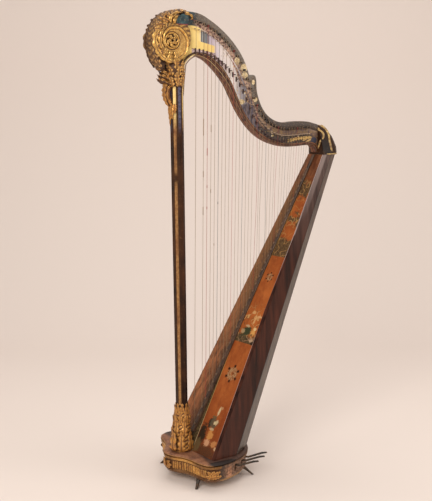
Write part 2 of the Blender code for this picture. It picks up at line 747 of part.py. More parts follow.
def stave_points(z, inset):
    """Corners of the staved back at this height, from the left edge round to the right edge."""
    front = board_centre(z) + crown(z) + level_gap(SOUNDBOARD_THICKNESS + SEAT)
    reach = depth(z) - crown(z) - level_gap(SOUNDBOARD_THICKNESS + SEAT) - level_gap(inset)
    wide = half_width(z) - inset
    return [(front + reach * deep, -wide * out, z) for deep, out in STAVE_CORNERS]


def box_heights():
    count = 4
    low, high = DECK_TOP_Z + SEAT, box_top_z
    return [low + (high - low) * k / count for k in range(count + 1)]


def stave_ring(z, outer, inner):
    """One level of a staved wall between two insets."""
    return stave_points(z, outer) + list(reversed(stave_points(z, inner)))


def build_soundbox():
    shape = bmesh.new()
    loft(shape, [stave_ring(z, 0, STAVE_WALL) for z in box_heights()])
    add_bmesh("soundbox_staves", shape, red_wood)
    for place, share in (("lower", 0.33), ("upper", 0.66)):
        z = DECK_TOP_Z + share * (box_top_z - DECK_TOP_Z)
        outer, inner = STAVE_WALL + SEAT * 3, STAVE_WALL + BACK_RIB
        rib = bmesh.new()
        loft(rib, [stave_ring(z + lift, outer, inner) for lift in (-BACK_RIB / 2, BACK_RIB / 2)])
        add_bmesh("soundbox_rib_" + place, rib, plain_wood)
    for name, low, high in (("soundbox_foot_block", DECK_TOP_Z + SEAT, DECK_TOP_Z + BLOCK_FOOT),
                            ("soundbox_top_block", box_top_z - BLOCK_TOP, box_top_z)):
        block = bmesh.new()
        loft(block, [stave_points(z, STAVE_WALL + SEAT * 3) for z in (low, high)])
        add_bmesh(name, block, plain_wood)


def board_section(z, back, margin=0.0):
    """Points across the soundboard, left to right, this far behind its front surface."""
    wide = half_width(z) - margin
    flat = RIB_HALF_WIDTH_FOOT + (RIB_HALF_WIDTH_TOP - RIB_HALF_WIDTH_FOOT) * box_share(z) + 0.001
    across = [flat, flat + (wide - flat) * 0.33, flat + (wide - flat) * 0.67, wide]
    ys = [-y for y in reversed(across)] + across
    points = []
    for y in ys:
        share = (abs(y) - flat) / (wide - flat)
        points.append((board_centre(z) + crown(z) * share + level_gap(back), y, z))
    return points


def build_soundboard():
    shape = bmesh.new()
    rings = []
    for z in box_heights():
        rings.append(board_section(z, 0) + list(reversed(board_section(z, SOUNDBOARD_THICKNESS))))
    loft(shape, rings)
    board = add_bmesh("soundboard", shape, board_red)
    holes = bmesh.new()
    tilt = Matrix.Rotation(math.radians(90) - BOARD_LEAN, 4, "Y")
    for z, offset, ring_r in SOUND_HOLES:
        for side in (-1, 1):
            centre = Vector((board_centre(z) + crown(z) * 0.5, side * offset, z))
            place = Matrix.Translation(centre) @ tilt.inverted()
            for k in range(6):
                angle = 2 * math.pi * k / 6
                spot = Matrix.Translation((ring_r * math.cos(angle), ring_r * math.sin(angle), 0))
                bmesh.ops.create_cone(holes, cap_ends=True, segments=6, radius1=SOUND_HOLE_R,
                                      radius2=SOUND_HOLE_R, depth=STAVE_WALL * 8, matrix=place @ spot)
    cut(board, new_mesh("sound_holes", holes), "sound_holes")
    notch = bmesh.new()
    around = circle((COLUMN_FOOT_R + 2 * SEAT) / math.cos(math.pi / 24), 24)
    loft(notch, [[(column_centre(z) + a, b, z) for a, b in around]
                 for z in (DECK_TOP_Z - RIM_WALL, DECK_TOP_Z + 3 * COLUMN_FOOT_R)])
    cut(board, new_mesh("column_notch", notch), "column_notch")


def rib_half_width(z):
    return RIB_HALF_WIDTH_FOOT + (RIB_HALF_WIDTH_TOP - RIB_HALF_WIDTH_FOOT) * box_share(z)


def rib_front(z):
    return board_centre(z) - level_gap(SEAT + RIB_THICKNESS)


def build_string_ribs():
    """The raised strip that the strings come through, and the bar behind the soundboard."""
    low, high = RIB_START_Z, box_top_z - 0.001
    shape = bmesh.new()
    rings = []
    groove = KNOT_STRIP_WIDTH / 2 + SEAT
    for z in (low, high):
        wide, back, front = rib_half_width(z), board_centre(z) - level_gap(SEAT), rib_front(z)
        bed = back - level_gap(KNOT_STRIP_THICKNESS + 2 * SEAT)
        rings.append([(back, -wide, z), (front + 0.002, -wide, z), (front, -wide * 0.7, z),
                      (front, wide * 0.7, z), (front + 0.002, wide, z), (back, wide, z),
                      (back, groove, z), (bed, groove, z), (bed, -groove, z), (back, -groove, z)])
    loft(shape, rings)
    rib = add_bmesh("string_rib", shape, lacquer)
    holes = bmesh.new()
    for i in range(STRINGS):
        bore = (PEG_SHANK_R + SEAT) / math.cos(math.pi / 6)
        seat = peg_seat(i)
        loft(holes, [[seat + BOARD_OUT * lift + BOARD_UP * a + Vector((0, b, 0))
                      for a, b in circle(bore, 6)]
                     for lift in (0.0010 - RIB_THICKNESS, 0.001)])
    cut(rib, new_mesh("peg_holes", holes), "peg_holes")
    low, high = DECK_TOP_Z + BLOCK_FOOT + 0.002, box_top_z - BLOCK_TOP - 0.002
    shape = bmesh.new()
    rings = []
    for z in (low, high):
        front = board_centre(z) + level_gap(SOUNDBOARD_THICKNESS + SEAT)
        wide = rib_half_width(z) * 0.8
        rings.append([(front, -wide, z), (front, wide, z), (front + INNER_BAR, wide, z),
                      (front + INNER_BAR, -wide, z)])
    loft(shape, rings)
    add_bmesh("inner_string_bar", shape, plain_wood)


# Neck

NECK_TOP = [(-0.006, 1.6170), (0.028, 1.6240), (0.072, 1.6180), (0.108, 1.6010), (0.146, 1.5770),
            (0.181, 1.5490), (0.209, 1.5205), (0.232, 1.4910), (0.251, 1.4570), (0.264, 1.4240)]
NECK_STEP = [(0.288, 1.4180), (0.2945, 1.4030), (0.2965, 1.3700), (0.306, 1.3350), (0.322, 1.3030),
             (0.345, 1.2770), (0.377, 1.2590), (0.412, 1.2520), (0.445, 1.2545), (0.480, 1.2560),
             (0.520, 1.2545), (NECK_END_X, 1.2450)]
NECK_UNDER = [(NECK_END_X, 1.1400), (0.546, 1.1410), (0.533, 1.1520), (0.518, 1.1660),
              (0.495, 1.1680), (0.470, 1.1665), (0.420, 1.1655),
              (0.375, 1.1740), (0.330, 1.1910), (0.290, 1.2185), (0.255, 1.2550), (0.227, 1.2940),
              (0.203, 1.3380), (0.180, 1.3810), (0.153, 1.4170), (0.127, 1.4450), (0.100, 1.4690),
              (0.078, 1.4810), (0.056, 1.4865), (0.038, 1.4830), (0.022, 1.4730), (0.0110, 1.4580),
              (0.0065, 1.4430), (0.0060, 1.4310)]


def shaped(shape, angle):
    """Reach of an outline at this angle: smooth between its points, which go round by the angle."""
    turn = math.degrees(angle) % 360
    points = [(a - 360, reach) for a, reach in shape] + shape + [(a + 360, reach) for a, reach in shape]
    for (a, low), (b, high) in zip(points, points[1:]):
        if a <= turn <= b:
            share = (turn - a) / (b - a)
            return HEAD_R * (low + (high - low) * share * share * (3 - 2 * share))
    return HEAD_R


def head_radius(angle):
    """The scroll's outline: tight where it meets the neck, and full in front and on top."""
    return shaped(HEAD_SHAPE, angle)


def neck_outline():
    """The neck's side view: top curve with its step, end at the shoulder, underside, and the front
    that fits round the head."""
    top = smooth_path(fitted(NECK_TOP), 2)
    after_step = smooth_path(fitted(NECK_STEP), 2)
    under = smooth_path(fitted(NECK_UNDER), 2)
    start = math.atan2(NECK_TOP[0][1] - HEAD_Z, NECK_TOP[0][0] - HEAD_X)
    low = -math.pi / 2
    arc = []
    steps = 18
    half_step = (start - low) / steps / 2
    for k in range(1, steps):
        angle = low + (start - low) * k / steps
        near = [angle + half_step * share for share in (-2, -1, 0, 1, 2)]
        reach = (max(head_radius(a) for a in near) + SEAT * 2) / math.cos(half_step)
        arc.append(Vector((HEAD_X + reach * math.cos(angle), HEAD_Z + reach * math.sin(angle))))
    front = [Vector((NECK_FRONT_X, COLUMN_TOP_Z + SEAT)), arc[0]]
    front[1].x = max(front[1].x, NECK_FRONT_X)
    return top + after_step + under + front + arc[1:]


def curve_height(points, x, steps=4):
    """Height of a curve that runs along X, at this X."""
    path = sorted(smooth_path(fitted(points), steps), key=lambda p: p.x)
    for a, b in zip(path, path[1:]):
        if a.x <= x <= b.x and b.x > a.x:
            return a.y + (b.y - a.y) * (x - a.x) / (b.x - a.x)
    return path[0].y if x < path[0].x else path[-1].y


# Heights of the tuning pins along the neck
PIN_ROW = [(0.050, 1.5900), (0.085, 1.5820), (0.120, 1.5640), (0.150, 1.5430), (0.180, 1.5150),
           (0.210, 1.4800), (0.235, 1.4380), (0.256, 1.3900), (0.280, 1.3320), (0.310, 1.2840),
           (0.345, 1.2510), (0.385, 1.2330), (0.430, 1.2290), (0.480, 1.2330), (0.517, 1.2350)]
# Distance from a tuning pin down to its nut, and from the nut to the hook as a share of the string
NUT_DROP = 0.0230
HOOK_SHARE = 0.0562
HOOK_MIN_DROP = 0.0130
HOOK_EDGE = 0.0080


def pin_z(i):
    return curve_height(PIN_ROW, string_x(i))


def nut_z(i):
    return pin_z(i) - NUT_DROP


def hook_z(i):
    """A hook shortens its string by a semitone, and stays clear of the neck's lower edge."""
    length = nut_z(i) - board_z(string_x(i))
    drop = max(HOOK_SHARE * length, HOOK_MIN_DROP)
    lowest = curve_height(NECK_UNDER, string_x(i)) + HOOK_EDGE
    return max(nut_z(i) - drop, lowest)


def pin_x(i):
    return string_x(i) + string_r(i) + SEAT + TUNING_PIN_R


def hook_x(i):
    return string_x(i) + string_r(i) + 0.0008 + HOOK_R


def hook_point(i):
    return Vector((hook_x(i), 0, hook_z(i)))


def hook_normal(i):
    """Square to the row of hooks, on the side of the tuning pins."""
    along = hook_point(min(i + 3, STRINGS - 1)) - hook_point(max(i - 3, 0))
    return Vector((-along.z, 0, along.x)).normalized()


def link_point(i, offset):
    """A place beside hook i on a line that bends only at every third hook, so lines never cross."""
    first = i - i % 3
    last = min(first + 3, STRINGS - 1)
    a = hook_point(first) + hook_normal(first) * offset
    if first == last:
        return a
    b = hook_point(last) + hook_normal(last) * offset
    return a.lerp(b, (i - first) / (last - first))


def beside_hooks(offset, reach):
    """A line beside the whole row of hooks, this far from it, and longer by the reach at its ends."""
    points = [link_point(i, offset) for i in range(0, STRINGS, 3)]
    first = (points[0] - points[1]).normalized() * reach
    last = (points[-1] - points[-2]).normalized() * reach
    return [points[0] + first] + points + [points[-1] + last]


def channel_outline(margin):
    """The space for the hooks' links, seen from the side, and a margin round it."""
    top = LINK_FIRST + LINK_PITCH * (len(NOTES) - 1) + HOOK_R + 0.0012
    lower = beside_hooks(-HOOK_R - 0.0030 - margin, 0.005 + margin)
    upper = beside_hooks(top + margin, 0.005 + margin)
    return [(p.x, p.z) for p in lower + list(reversed(upper))]


def flat_run(shape, points, width, thickness):
    """A strip along a bent line that keeps to one Y, as wide as told in its plane."""
    rings = []
    for k, point in enumerate(points):
        along = points[min(k + 1, len(points) - 1)] - points[max(k - 1, 0)]
        normal = Vector((-along.z, 0, along.x)).normalized()
        w, t = width / 2, thickness / 2
        corners = ((-w, -t), (w, -t), (w, t), (-w, t))
        rings.append([point + normal * a + Vector((0, b, 0)) for a, b in corners])
    loft(shape, rings)


def build_neck():
    outlines = [[(p.x, p.y) for p in neck_outline()]]
    for i in range(STRINGS):
        hole = (HOOK_R + RUNNING) / math.cos(math.pi / 6)
        outlines.append([(hook_x(i) + a, hook_z(i) + b) for a, b in circle(hole, 6)])
    mesh = flat_mesh("neck", outlines, NECK_THICKNESS)
    mesh.transform(Matrix.Translation((0, NECK_LEFT_Y + NECK_THICKNESS / 2, 0)))
    neck = add_part("neck", mesh, lacquer)
    pins = bmesh.new()
    face = NECK_LEFT_Y + NECK_THICKNESS
    for i in range(STRINGS):
        loft(pins, [[(pin_x(i) + a, y, pin_z(i) + b) for a, b in circle(r, 6)]
                    for y, r in ((STRING_Y - TUNING_PIN_LEFT, TUNING_PIN_R),
                                 (face + TUNING_PIN_RIGHT, TUNING_PIN_R * 0.85))])
    join(neck, new_mesh("tuning_pins", pins), "tuning_pins")
    depth_y = NECK_LEFT_Y + NECK_THICKNESS - CHANNEL_Y
    channel = flat_mesh("hook_channel", [channel_outline(0)], depth_y * 2)
    channel.transform(Matrix.Translation((0, CHANNEL_Y + depth_y, 0)))
    cut(neck, channel, "hook_channel")


def nut_x(i):
    return string_x(i) - string_r(i) - SEAT - NUT_R


def build_nut_rail():
    """A thin rail on the neck's left face with a brass stud for each string to lean on."""
    stations = list(range(0, STRINGS, 3))
    middle = NECK_LEFT_Y - SEAT - NUT_RAIL_THICKNESS / 2
    line = [Vector((nut_x(i), middle, nut_z(i))) for i in stations]
    ends = [(line[0] - line[1]).normalized() * 0.008, (line[-1] - line[-2]).normalized() * 0.008]
    rail = bmesh.new()
    flat_run(rail, [line[0] + ends[0]] + line + [line[-1] + ends[1]], NUT_RAIL_WIDTH, NUT_RAIL_THICKNESS)
    piece = add_bmesh("nut_rail", rail, red_wood)
    studs = bmesh.new()
    for i in range(STRINGS):
        loft(studs, [[(nut_x(i) + a, y, nut_z(i) + b) for a, b in circle(NUT_R, 6)]
                     for y in (STRING_Y - 0.0035, middle)])
    join(piece, new_mesh("nut_studs", studs), "nut_studs")


def build_cover():
    """A curved panel on the neck's right side, over the channel of the hooks' links."""
    mesh = flat_mesh("neck_mechanism_cover", [channel_outline(0.0022)], COVER_THICKNESS)
    place = NECK_LEFT_Y + NECK_THICKNESS + SEAT + COVER_THICKNESS / 2
    mesh.transform(Matrix.Translation((0, place, 0)))
    add_part("neck_mechanism_cover", mesh, lacquer)


harp_rear_x = board_centre(box_top_z) + depth(box_top_z) + SHOULDER_OVERHANG
# Levels of the shoulder: rise above the box, set-in from the rear, half width, middle's shift in Y
SHOULDER_LEVELS = [(SEAT, 0.0035, 0.0475, 0), (0.008, 0, 0.0475, 0.0010), (0.026, 0.0002, 0.0450, 0.0030),
                   (0.050, 0.0090, 0.0390, 0.0060), (0.068, 0.0175, 0.0335, 0.0080),
                   (0.084, 0.0330, 0.0280, 0.0095), (0.097, 0.0530, 0.0230, 0.0105),
                   (0.106, 0.0740, 0.0205, NECK_LEFT_Y + NECK_THICKNESS / 2)]


def build_shoulder():
    """The carved block at the back of the neck that widens down to the soundbox."""
    front = fitted([(NECK_END_X, 0)])[0][0] + SEAT
    shape = bmesh.new()
    rings = []
    for rise, set_in, wide, middle in SHOULDER_LEVELS:
        rear, z = harp_rear_x - set_in, box_top_z + rise
        ring = [(front, middle + wide, z)]
        for k in range(1, 8):
            angle = math.pi * k / 8
            deep = (rear - front) * math.sin(angle) ** 0.8
            ring.append((front + deep, middle + wide * math.cos(angle), z))
        ring.append((front, middle - wide, z))
        rings.append(ring)
    loft(shape, rings)
    add_bmesh("neck_shoulder", shape, lacquer)


# Head

def build_head():
    """The scroll: a thick disc whose two faces carry a carved spiral."""
    count, turns = 36, 2.2
    shares = (0.16, 0.34, 0.52, 0.70, 0.85, 0.95)
    rings = []
    for side in (-1, 1):
        rows = []
        for share in shares:
            row = []
            for i in range(count):
                angle = 2 * math.pi * i / count
                wave = math.cos(2 * math.pi * turns * share + angle * -side)
                lift = VOLUTE_RELIEF * (0.5 + 0.5 * wave) * math.sin(math.pi * min(share + 0.05, 1))
                y = HEAD_HALF_WIDTH + lift
                r = head_radius(angle) * share
                row.append((HEAD_X + r * math.cos(angle), side * y, HEAD_Z + r * math.sin(angle)))
            rows.append(row)
        rim = []
        for i in range(count):
            angle = 2 * math.pi * i / count
            r = head_radius(angle)
            rim.append((HEAD_X + r * math.cos(angle), side * (HEAD_HALF_WIDTH - 0.003),
                        HEAD_Z + r * math.sin(angle)))
        rows.append(rim)
        rings += rows if side < 0 else list(reversed(rows))
    shape = bmesh.new()
    loft(shape, rings)
    add_bmesh("scroll_head", shape, gilt, smooth=True)


def neck_reach(angle):
    """Distance from the scroll's centre to the neck's top edge at this angle, or none."""
    ray = Vector((math.cos(angle), math.sin(angle)))
    path = [p - Vector((HEAD_X, HEAD_Z)) for p in smooth_path(fitted(NECK_TOP), 2)]
    for a, b in zip(path, path[1:]):
        side_a, side_b = ray.cross(a), ray.cross(b)
        if side_a * side_b <= 0 and side_a != side_b and a.dot(ray) > 0:
            share = side_a / (side_a - side_b)
            return (a + (b - a) * share).dot(ray)
    return 0


def build_crest():
    """Carved leafwork round the scroll and over the neck's front end, with a lobe for each leaf. It
    grows wider, as the scroll's edge sees it, and narrower in front on its way down to the capital."""
    leaves, per_leaf = 14, 3
    start, end = math.radians(CREST_SHAPE[0][0]), math.radians(CREST_SHAPE[-1][0])
    stations = leaves * per_leaf
    rings = []
    for k in range(stations + 1):
        angle = start + (end - start) * k / stations
        lobe = abs(math.sin(math.pi * k / per_leaf))
        tail = max(0, (k / stations - 0.6) / 0.4)
        step = (end - start) / stations
        near = [angle + step * share for share in (-1, -0.5, 0, 0.5, 1)]
        inner = max(max(head_radius(a), neck_reach(a)) for a in near) / math.cos(step) + 2 * SEAT
        high = shaped(CREST_SHAPE, angle) - CREST_LOBE * (1 - lobe)
        high = max(high, inner + CREST_LOBE)
        wide = CREST_HALF_WIDTH * (0.72 + 0.28 * lobe) * (1 - 0.3 * tail)
        edge = high - (high - inner) * 0.35
        section = [(inner, -wide * 0.92), (edge, -wide), (high, -wide * 0.55), (high, wide * 0.55),
                   (edge, wide), (inner, wide * 0.92)]
        rings.append([(HEAD_X + r * math.cos(angle), y, HEAD_Z + r * math.sin(angle)) for r, y in section])
    shape = bmesh.new()
    loft(shape, rings)
    add_bmesh("head_crest", shape, gilt)


# Strings, pins and hooks

def build_hooks():
    """L-shaped hooks, one set for each note, which the pedal draws towards the neck. Each set hangs
    on its own link in the neck's channel, and reaches over the other links to it."""
    corner_y = STRING_Y - BASS_STRING_R - HOOK_TRAVEL - SEAT - HOOK_R
    over_y = LINK_Y + LINK_DROP
    for order, note in enumerate(NOTES):
        own = [i for i in range(STRINGS) if STRING_NOTES[i % 7] == note]
        lift = LINK_FIRST + LINK_PITCH * order
        stations = [i for i in range(own[0] + 1, own[-1]) if i % 3 == 0]
        line = [link_point(i, lift) + Vector((0, LINK_Y, 0)) for i in [own[0]] + stations + [own[-1]]]
        ends = [(line[0] - line[1]).normalized() * HOOK_R, (line[-1] - line[-2]).normalized() * HOOK_R]
        line[0] += ends[0]
        line[-1] += ends[1]
        link = bmesh.new()
        flat_run(link, line, LINK_SIZE, LINK_SIZE)
        hooks = add_bmesh("hooks_" + note, link, iron, smooth=True)
        splines = []
        for i in own:
            x, z = hook_x(i), hook_z(i)
            high = link_point(i, lift)
            splines.append([(high.x, LINK_Y - LINK_SIZE * 0.2, high.z), (high.x, over_y, high.z),
                            (x, over_y, z), (x, corner_y, z), (x - HOOK_ARM, corner_y, z)])
        join(hooks, curve_mesh("hook_shanks_" + note, splines, HOOK_R, 0), "hook_shanks_" + note)


def peg_seat(i):
    """Where the axis of a string's peg meets the rib's front face."""
    x = string_x(i) + PEG_HEIGHT * 0.5 * math.cos(BOARD_LEAN)
    return Vector((x, 0, board_z(x)))


def build_strings():
    """All the strings with their pegs, joined behind the pegs by a strip in the rib's groove."""
    middle = SEAT * 2 + KNOT_STRIP_THICKNESS / 2
    ends = []
    for z in (RIB_START_Z + 0.004, box_top_z - 0.004):
        centre = Vector((board_centre(z), 0, z)) + BOARD_OUT * middle
        half_t, half_w = KNOT_STRIP_THICKNESS / 2, KNOT_STRIP_WIDTH / 2
        corners = ((-half_t, -half_w), (half_t, -half_w), (half_t, half_w), (-half_t, half_w))
        ends.append([centre + BOARD_OUT * a + Vector((0, b, 0)) for a, b in corners])
    strip = bmesh.new()
    loft(strip, ends)
    strings = add_bmesh("strings", strip, gut)
    pegs = bmesh.new()
    splines, radii = [], []
    for i in range(STRINGS):
        seat = peg_seat(i)
        inner = middle - SEAT - RIB_THICKNESS
        levels = ((inner, PEG_SHANK_R), (PEG_HEIGHT, PEG_SHANK_R))
        loft(pegs, [[seat + BOARD_OUT * lift + BOARD_UP * a + Vector((0, b, 0)) for a, b in circle(r, 6)]
                    for lift, r in levels])
        start = seat + BOARD_OUT * PEG_HEIGHT * 0.5
        splines.append([start, Vector((string_x(i), STRING_Y, nut_z(i))),
                        Vector((string_x(i), STRING_Y, pin_z(i)))])
        radii.append([string_r(i) / BASS_STRING_R] * 3)
    join(strings, new_mesh("string_pegs", pegs), "string_pegs")
    join(strings, curve_mesh("string_runs", splines, BASS_STRING_R, 1, radii), "string_runs")


build_rim()
build_deck()
around = len(base_outline(0))
build_rim_carving("front_shell", around - 3, 3, 3)
build_rim_carving("corner_leaf_left", 5 * OUTLINE_STEPS - 1, 6 * OUTLINE_STEPS + 1, 2)
build_rim_carving("corner_leaf_right", around - 6 * OUTLINE_STEPS - 1, around - 5 * OUTLINE_STEPS + 1, 2)
build_bottom_board()
build_feet()
build_pedals()
build_pivot()
build_springs()
build_rods()
build_column()
build_column_carving()
build_console()
build_soundbox()
build_soundboard()
build_string_ribs()
build_neck()
build_nut_rail()
build_cover()
build_shoulder()
build_head()
build_crest()
build_hooks()
build_strings()
crest = bpy.data.objects["head_crest"].data
harp_front_x = min(vertex.co.x for vertex in crest.vertices)
frame.location = (-(harp_rear_x + harp_front_x) / 2, 0, 0)
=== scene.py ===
import math

import bmesh
import bpy
from mathutils import Matrix, Vector, kdtree


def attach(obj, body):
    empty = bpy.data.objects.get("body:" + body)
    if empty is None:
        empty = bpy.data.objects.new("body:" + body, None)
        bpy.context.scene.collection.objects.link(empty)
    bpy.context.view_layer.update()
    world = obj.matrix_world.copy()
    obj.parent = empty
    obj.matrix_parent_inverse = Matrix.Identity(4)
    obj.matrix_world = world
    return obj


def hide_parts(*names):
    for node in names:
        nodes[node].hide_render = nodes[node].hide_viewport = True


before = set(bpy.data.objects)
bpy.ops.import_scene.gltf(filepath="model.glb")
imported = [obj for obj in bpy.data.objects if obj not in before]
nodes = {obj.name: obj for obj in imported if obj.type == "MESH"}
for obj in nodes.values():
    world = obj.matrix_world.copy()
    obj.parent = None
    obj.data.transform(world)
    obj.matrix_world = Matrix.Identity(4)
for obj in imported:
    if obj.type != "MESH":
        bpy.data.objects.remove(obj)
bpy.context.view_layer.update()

# The studio: a pale sweep of warm paper under the harp, a large soft lamp from the left front, a
# weaker one from the right, and a camera at eye height to the left of the harp's front.
CAMERA_PLACE = Vector((-1.7194, -2.8767, 1.2966))
CAMERA_TURN = math.radians(29.0)
CAMERA_DROP = math.radians(8.5)
CAMERA_LENS = 78.3
PAPER_COLOUR = (0.79, 0.700, 0.655)

ahead = Vector((math.sin(CAMERA_TURN) * math.cos(CAMERA_DROP),
                math.cos(CAMERA_TURN) * math.cos(CAMERA_DROP), -math.sin(CAMERA_DROP)))
aside = Vector((math.cos(CAMERA_TURN), -math.sin(CAMERA_TURN), 0))
camera = bpy.data.objects.new("camera", bpy.data.cameras.new("camera"))
camera.data.sensor_fit = "HORIZONTAL"
camera.data.sensor_width = 36
camera.data.lens = CAMERA_LENS
turn = Matrix((aside, aside.cross(ahead), -ahead)).transposed().to_4x4()
camera.matrix_world = Matrix.Translation(CAMERA_PLACE) @ turn
bpy.context.scene.collection.objects.link(camera)
bpy.context.scene.camera = camera
bpy.context.scene.view_settings.view_transform = "Standard"


def lamp(name, place, size, power, colour):
    """A square soft lamp that faces the harp's middle."""
    light = bpy.data.lights.new(name, "AREA")
    light.size = size
    light.energy = power
    light.color = colour
    holder = bpy.data.objects.new(name, light)
    holder.location = place
    holder.rotation_euler = (Vector((0, 0, 0.8)) - Vector(place)).to_track_quat("-Z", "Y").to_euler()
    bpy.context.scene.collection.objects.link(holder)


lamp("left_lamp", (-3.0, -2.6, 2.9), 2.2, 120, (1.0, 0.96, 0.90))
lamp("right_lamp", (2.6, -2.4, 2.2), 2.0, 38, (1.0, 0.97, 0.93))
lamp("top_lamp", (0.2, 0.6, 3.6), 2.4, 45, (1.0, 0.97, 0.93))

world = bpy.data.worlds.new("studio")
world.use_nodes = True
world.node_tree.nodes["Background"].inputs["Color"].default_value = (0.86, 0.80, 0.73, 1)
world.node_tree.nodes["Background"].inputs["Strength"].default_value = 0.55
bpy.context.scene.world = world


def paper_sweep():
    """The floor rises in a wide curve into the backdrop, square to the camera."""
    profile = [(-4.0, 0.0), (1.6, 0.0)]
    radius, steps = 1.6, 24
    for k in range(1, steps + 1):
        angle = math.pi / 2 * k / steps
        profile.append((1.6 + radius * math.sin(angle), radius * (1 - math.cos(angle))))
    profile.append((1.6 + radius, 5.0))
    back = Vector((math.sin(CAMERA_TURN), math.cos(CAMERA_TURN), 0))
    shape = bmesh.new()
    rows = []
    for along in (-5.0, 5.0):
        rows.append([shape.verts.new(back * reach + aside * along + Vector((0, 0, z - 0.0005)))
                     for reach, z in profile])
    for k in range(len(profile) - 1):
        shape.faces.new((rows[0][k], rows[1][k], rows[1][k + 1], rows[0][k + 1]))
    bmesh.ops.recalc_face_normals(shape, faces=shape.faces)
    mesh = bpy.data.meshes.new("paper_sweep")
    shape.to_mesh(mesh)
    shape.free()
    mesh.shade_smooth()
    sweep = bpy.data.objects.new("paper_sweep", mesh)
    bpy.context.scene.collection.objects.link(sweep)
    paper = bpy.data.materials.new("paper")
    paper.use_nodes = True
    shader = paper.node_tree.nodes["Principled BSDF"]
    shader.inputs["Base Color"].default_value = (*PAPER_COLOUR, 1)
    shader.inputs["Roughness"].default_value = 0.9
    mesh.materials.append(paper)


paper_sweep()


# The base's rim: a low serpentine box of carved and gilt wood. Its pedal slots are cut through the sides and back,
# which are stained and not gilt, with a pinkish patch of painted highlight on each side. All later finishes are put
# together with this class.
class Value:
    """A socket in a finish. Arithmetic on it adds Math nodes."""

    def __init__(self, finish, out):
        self.finish, self.out = finish, out

    def math(self, operation, first, second=0.0):
        return self.finish.node("ShaderNodeMath", {"operation": operation}, {0: first, 1: second})

    def __add__(self, other):
        return self.math("ADD", self, other)

    def __sub__(self, other):
        return self.math("SUBTRACT", self, other)

    def __rsub__(self, other):
        return self.math("SUBTRACT", other, self)

    def __mul__(self, other):
        return self.math("MULTIPLY", self, other)

    def __truediv__(self, other):
        return self.math("DIVIDE", self, other)

    __radd__ = __add__
    __rmul__ = __mul__

    def wave(self):
        return self.math("SINE", self)

    def distance(self):
        return self.math("ABSOLUTE", self)

    def least(self, other):
        return self.math("MINIMUM", self, other)

    def most(self, other):
        return self.math("MAXIMUM", self, other)

    def between(self, low, high):
        """0 below low and 1 above high, with a straight ramp between."""
        settings = {"clamp": True}
        return self.finish.node("ShaderNodeMapRange", settings, {0: self, 1: low, 2: high, 3: 0.0, 4: 1.0})


class Finish:
    """A material whose Principled shader takes its colour, roughness and relief from nodes."""

    def __init__(self, name, roughness=0.5, metallic=0.0, gloss=0.5):
        self.material = bpy.data.materials.new(name)
        self.material.use_nodes = True
        self.tree = self.material.node_tree
        self.shader = self.tree.nodes["Principled BSDF"]
        self.shader.inputs["Specular IOR Level"].default_value = gloss
        self.shader.inputs["Roughness"].default_value = roughness
        self.shader.inputs["Metallic"].default_value = metallic
        self.coords = self.node("ShaderNodeTexCoord", {}, {}, "Object")

    def node(self, kind, settings, inputs, output=0):
        made = self.tree.nodes.new(kind)
        for key, setting in settings.items():
            if key == "stops":
                ramp = made.color_ramp
                while len(ramp.elements) < len(setting):
                    ramp.elements.new(0.5)
                for element, (place, colour) in zip(ramp.elements, setting):
                    element.position = place
                    element.color = (*colour, 1)
            else:
                setattr(made, key, setting)
        for key, value in inputs.items():
            self.put(value, made.inputs[key])
        return Value(self, made.outputs[output])

    def put(self, value, socket):
        if isinstance(value, Value):
            self.tree.links.new(value.out, socket)
        elif isinstance(value, tuple) and len(value) == 3 and len(socket.default_value) == 4:
            socket.default_value = (*value, 1)
        else:
            socket.default_value = value

    def placed(self, scale=(1, 1, 1), turn=(0, 0, 0), shift=(0, 0, 0)):
        return self.node("ShaderNodeMapping", {"vector_type": "POINT"},
                         {"Vector": self.coords, "Location": shift, "Rotation": turn, "Scale": scale})

    def noise(self, scale, detail=4.0, roughness=0.6, vector=None):
        return self.node("ShaderNodeTexNoise", {}, {"Vector": vector or self.coords, "Scale": scale,
                                                    "Detail": detail, "Roughness": roughness})

    def axis(self, letter, vector=None):
        return self.node("ShaderNodeSeparateXYZ", {}, {0: vector or self.coords}, "XYZ".index(letter))

    def mix(self, share, first, second):
        return self.node("ShaderNodeMix", {"data_type": "RGBA"}, {0: share, 6: first, 7: second}, 2)

    def ramp(self, share, stops):
        return self.node("ShaderNodeValToRGB", {"stops": stops}, {0: share})

    def attribute(self, name):
        return self.node("ShaderNodeAttribute", {"attribute_name": name}, {}, "Fac")

    def finish(self, colour, roughness=None, metallic=None, relief=None, depth=0.001, strength=0.5):
        self.put(colour, self.shader.inputs["Base Color"])
        if roughness is not None:
            self.put(roughness, self.shader.inputs["Roughness"])
        if metallic is not None:
            self.put(metallic, self.shader.inputs["Metallic"])
        if relief is not None:
            bump = self.node("ShaderNodeBump", {}, {"Height": relief, "Strength": strength, "Distance": depth}, "Normal")
            self.put(bump, self.shader.inputs["Normal"])
        return self.material


def gilt_finish(name, bright=(0.56, 0.265, 0.052), worn=(0.17, 0.068, 0.020), carved=False,
                highlight=(0.90, 0.60, 0.19), loss=0.0, hollow=(0.022, 0.010, 0.005)):
    """Old leaf gilding, worn to brown in random patches and flecked with a painted highlight colour. On carvings the
    relief attribute also paints shade: bright gold on the high places, brown to near black in the hollows.
    """
    gold = Finish(name, 0.36)
    patches = gold.noise(38.0, 6.0, 0.7)
    grime = gold.noise(160.0, 3.0, 0.7)
    share = patches.between(0.36, 0.62)
    if carved:
        # On carvings the relief level decides how much is bright gold, so low relief in the hollows is painted shade.
        share = (gold.attribute("relief") * 1.45 + (patches - 0.5) * 1.2 - loss).between(0.24, 0.92)
    # The hollow colour, near black-brown: painted shade in the carvings' hollows, and worn patches on plain gilding.
    deep = gold.mix(grime, hollow, worn)
    # The highlight colour is a painted highlight, put on in flecks by noise.
    colour = gold.mix(share, deep, gold.mix(grime.between(0.38, 0.72), bright, highlight))
    return gold.finish(colour, 0.62 - share * 0.30, share * 0.50, patches + grime * 0.5, 0.0006, 0.5)


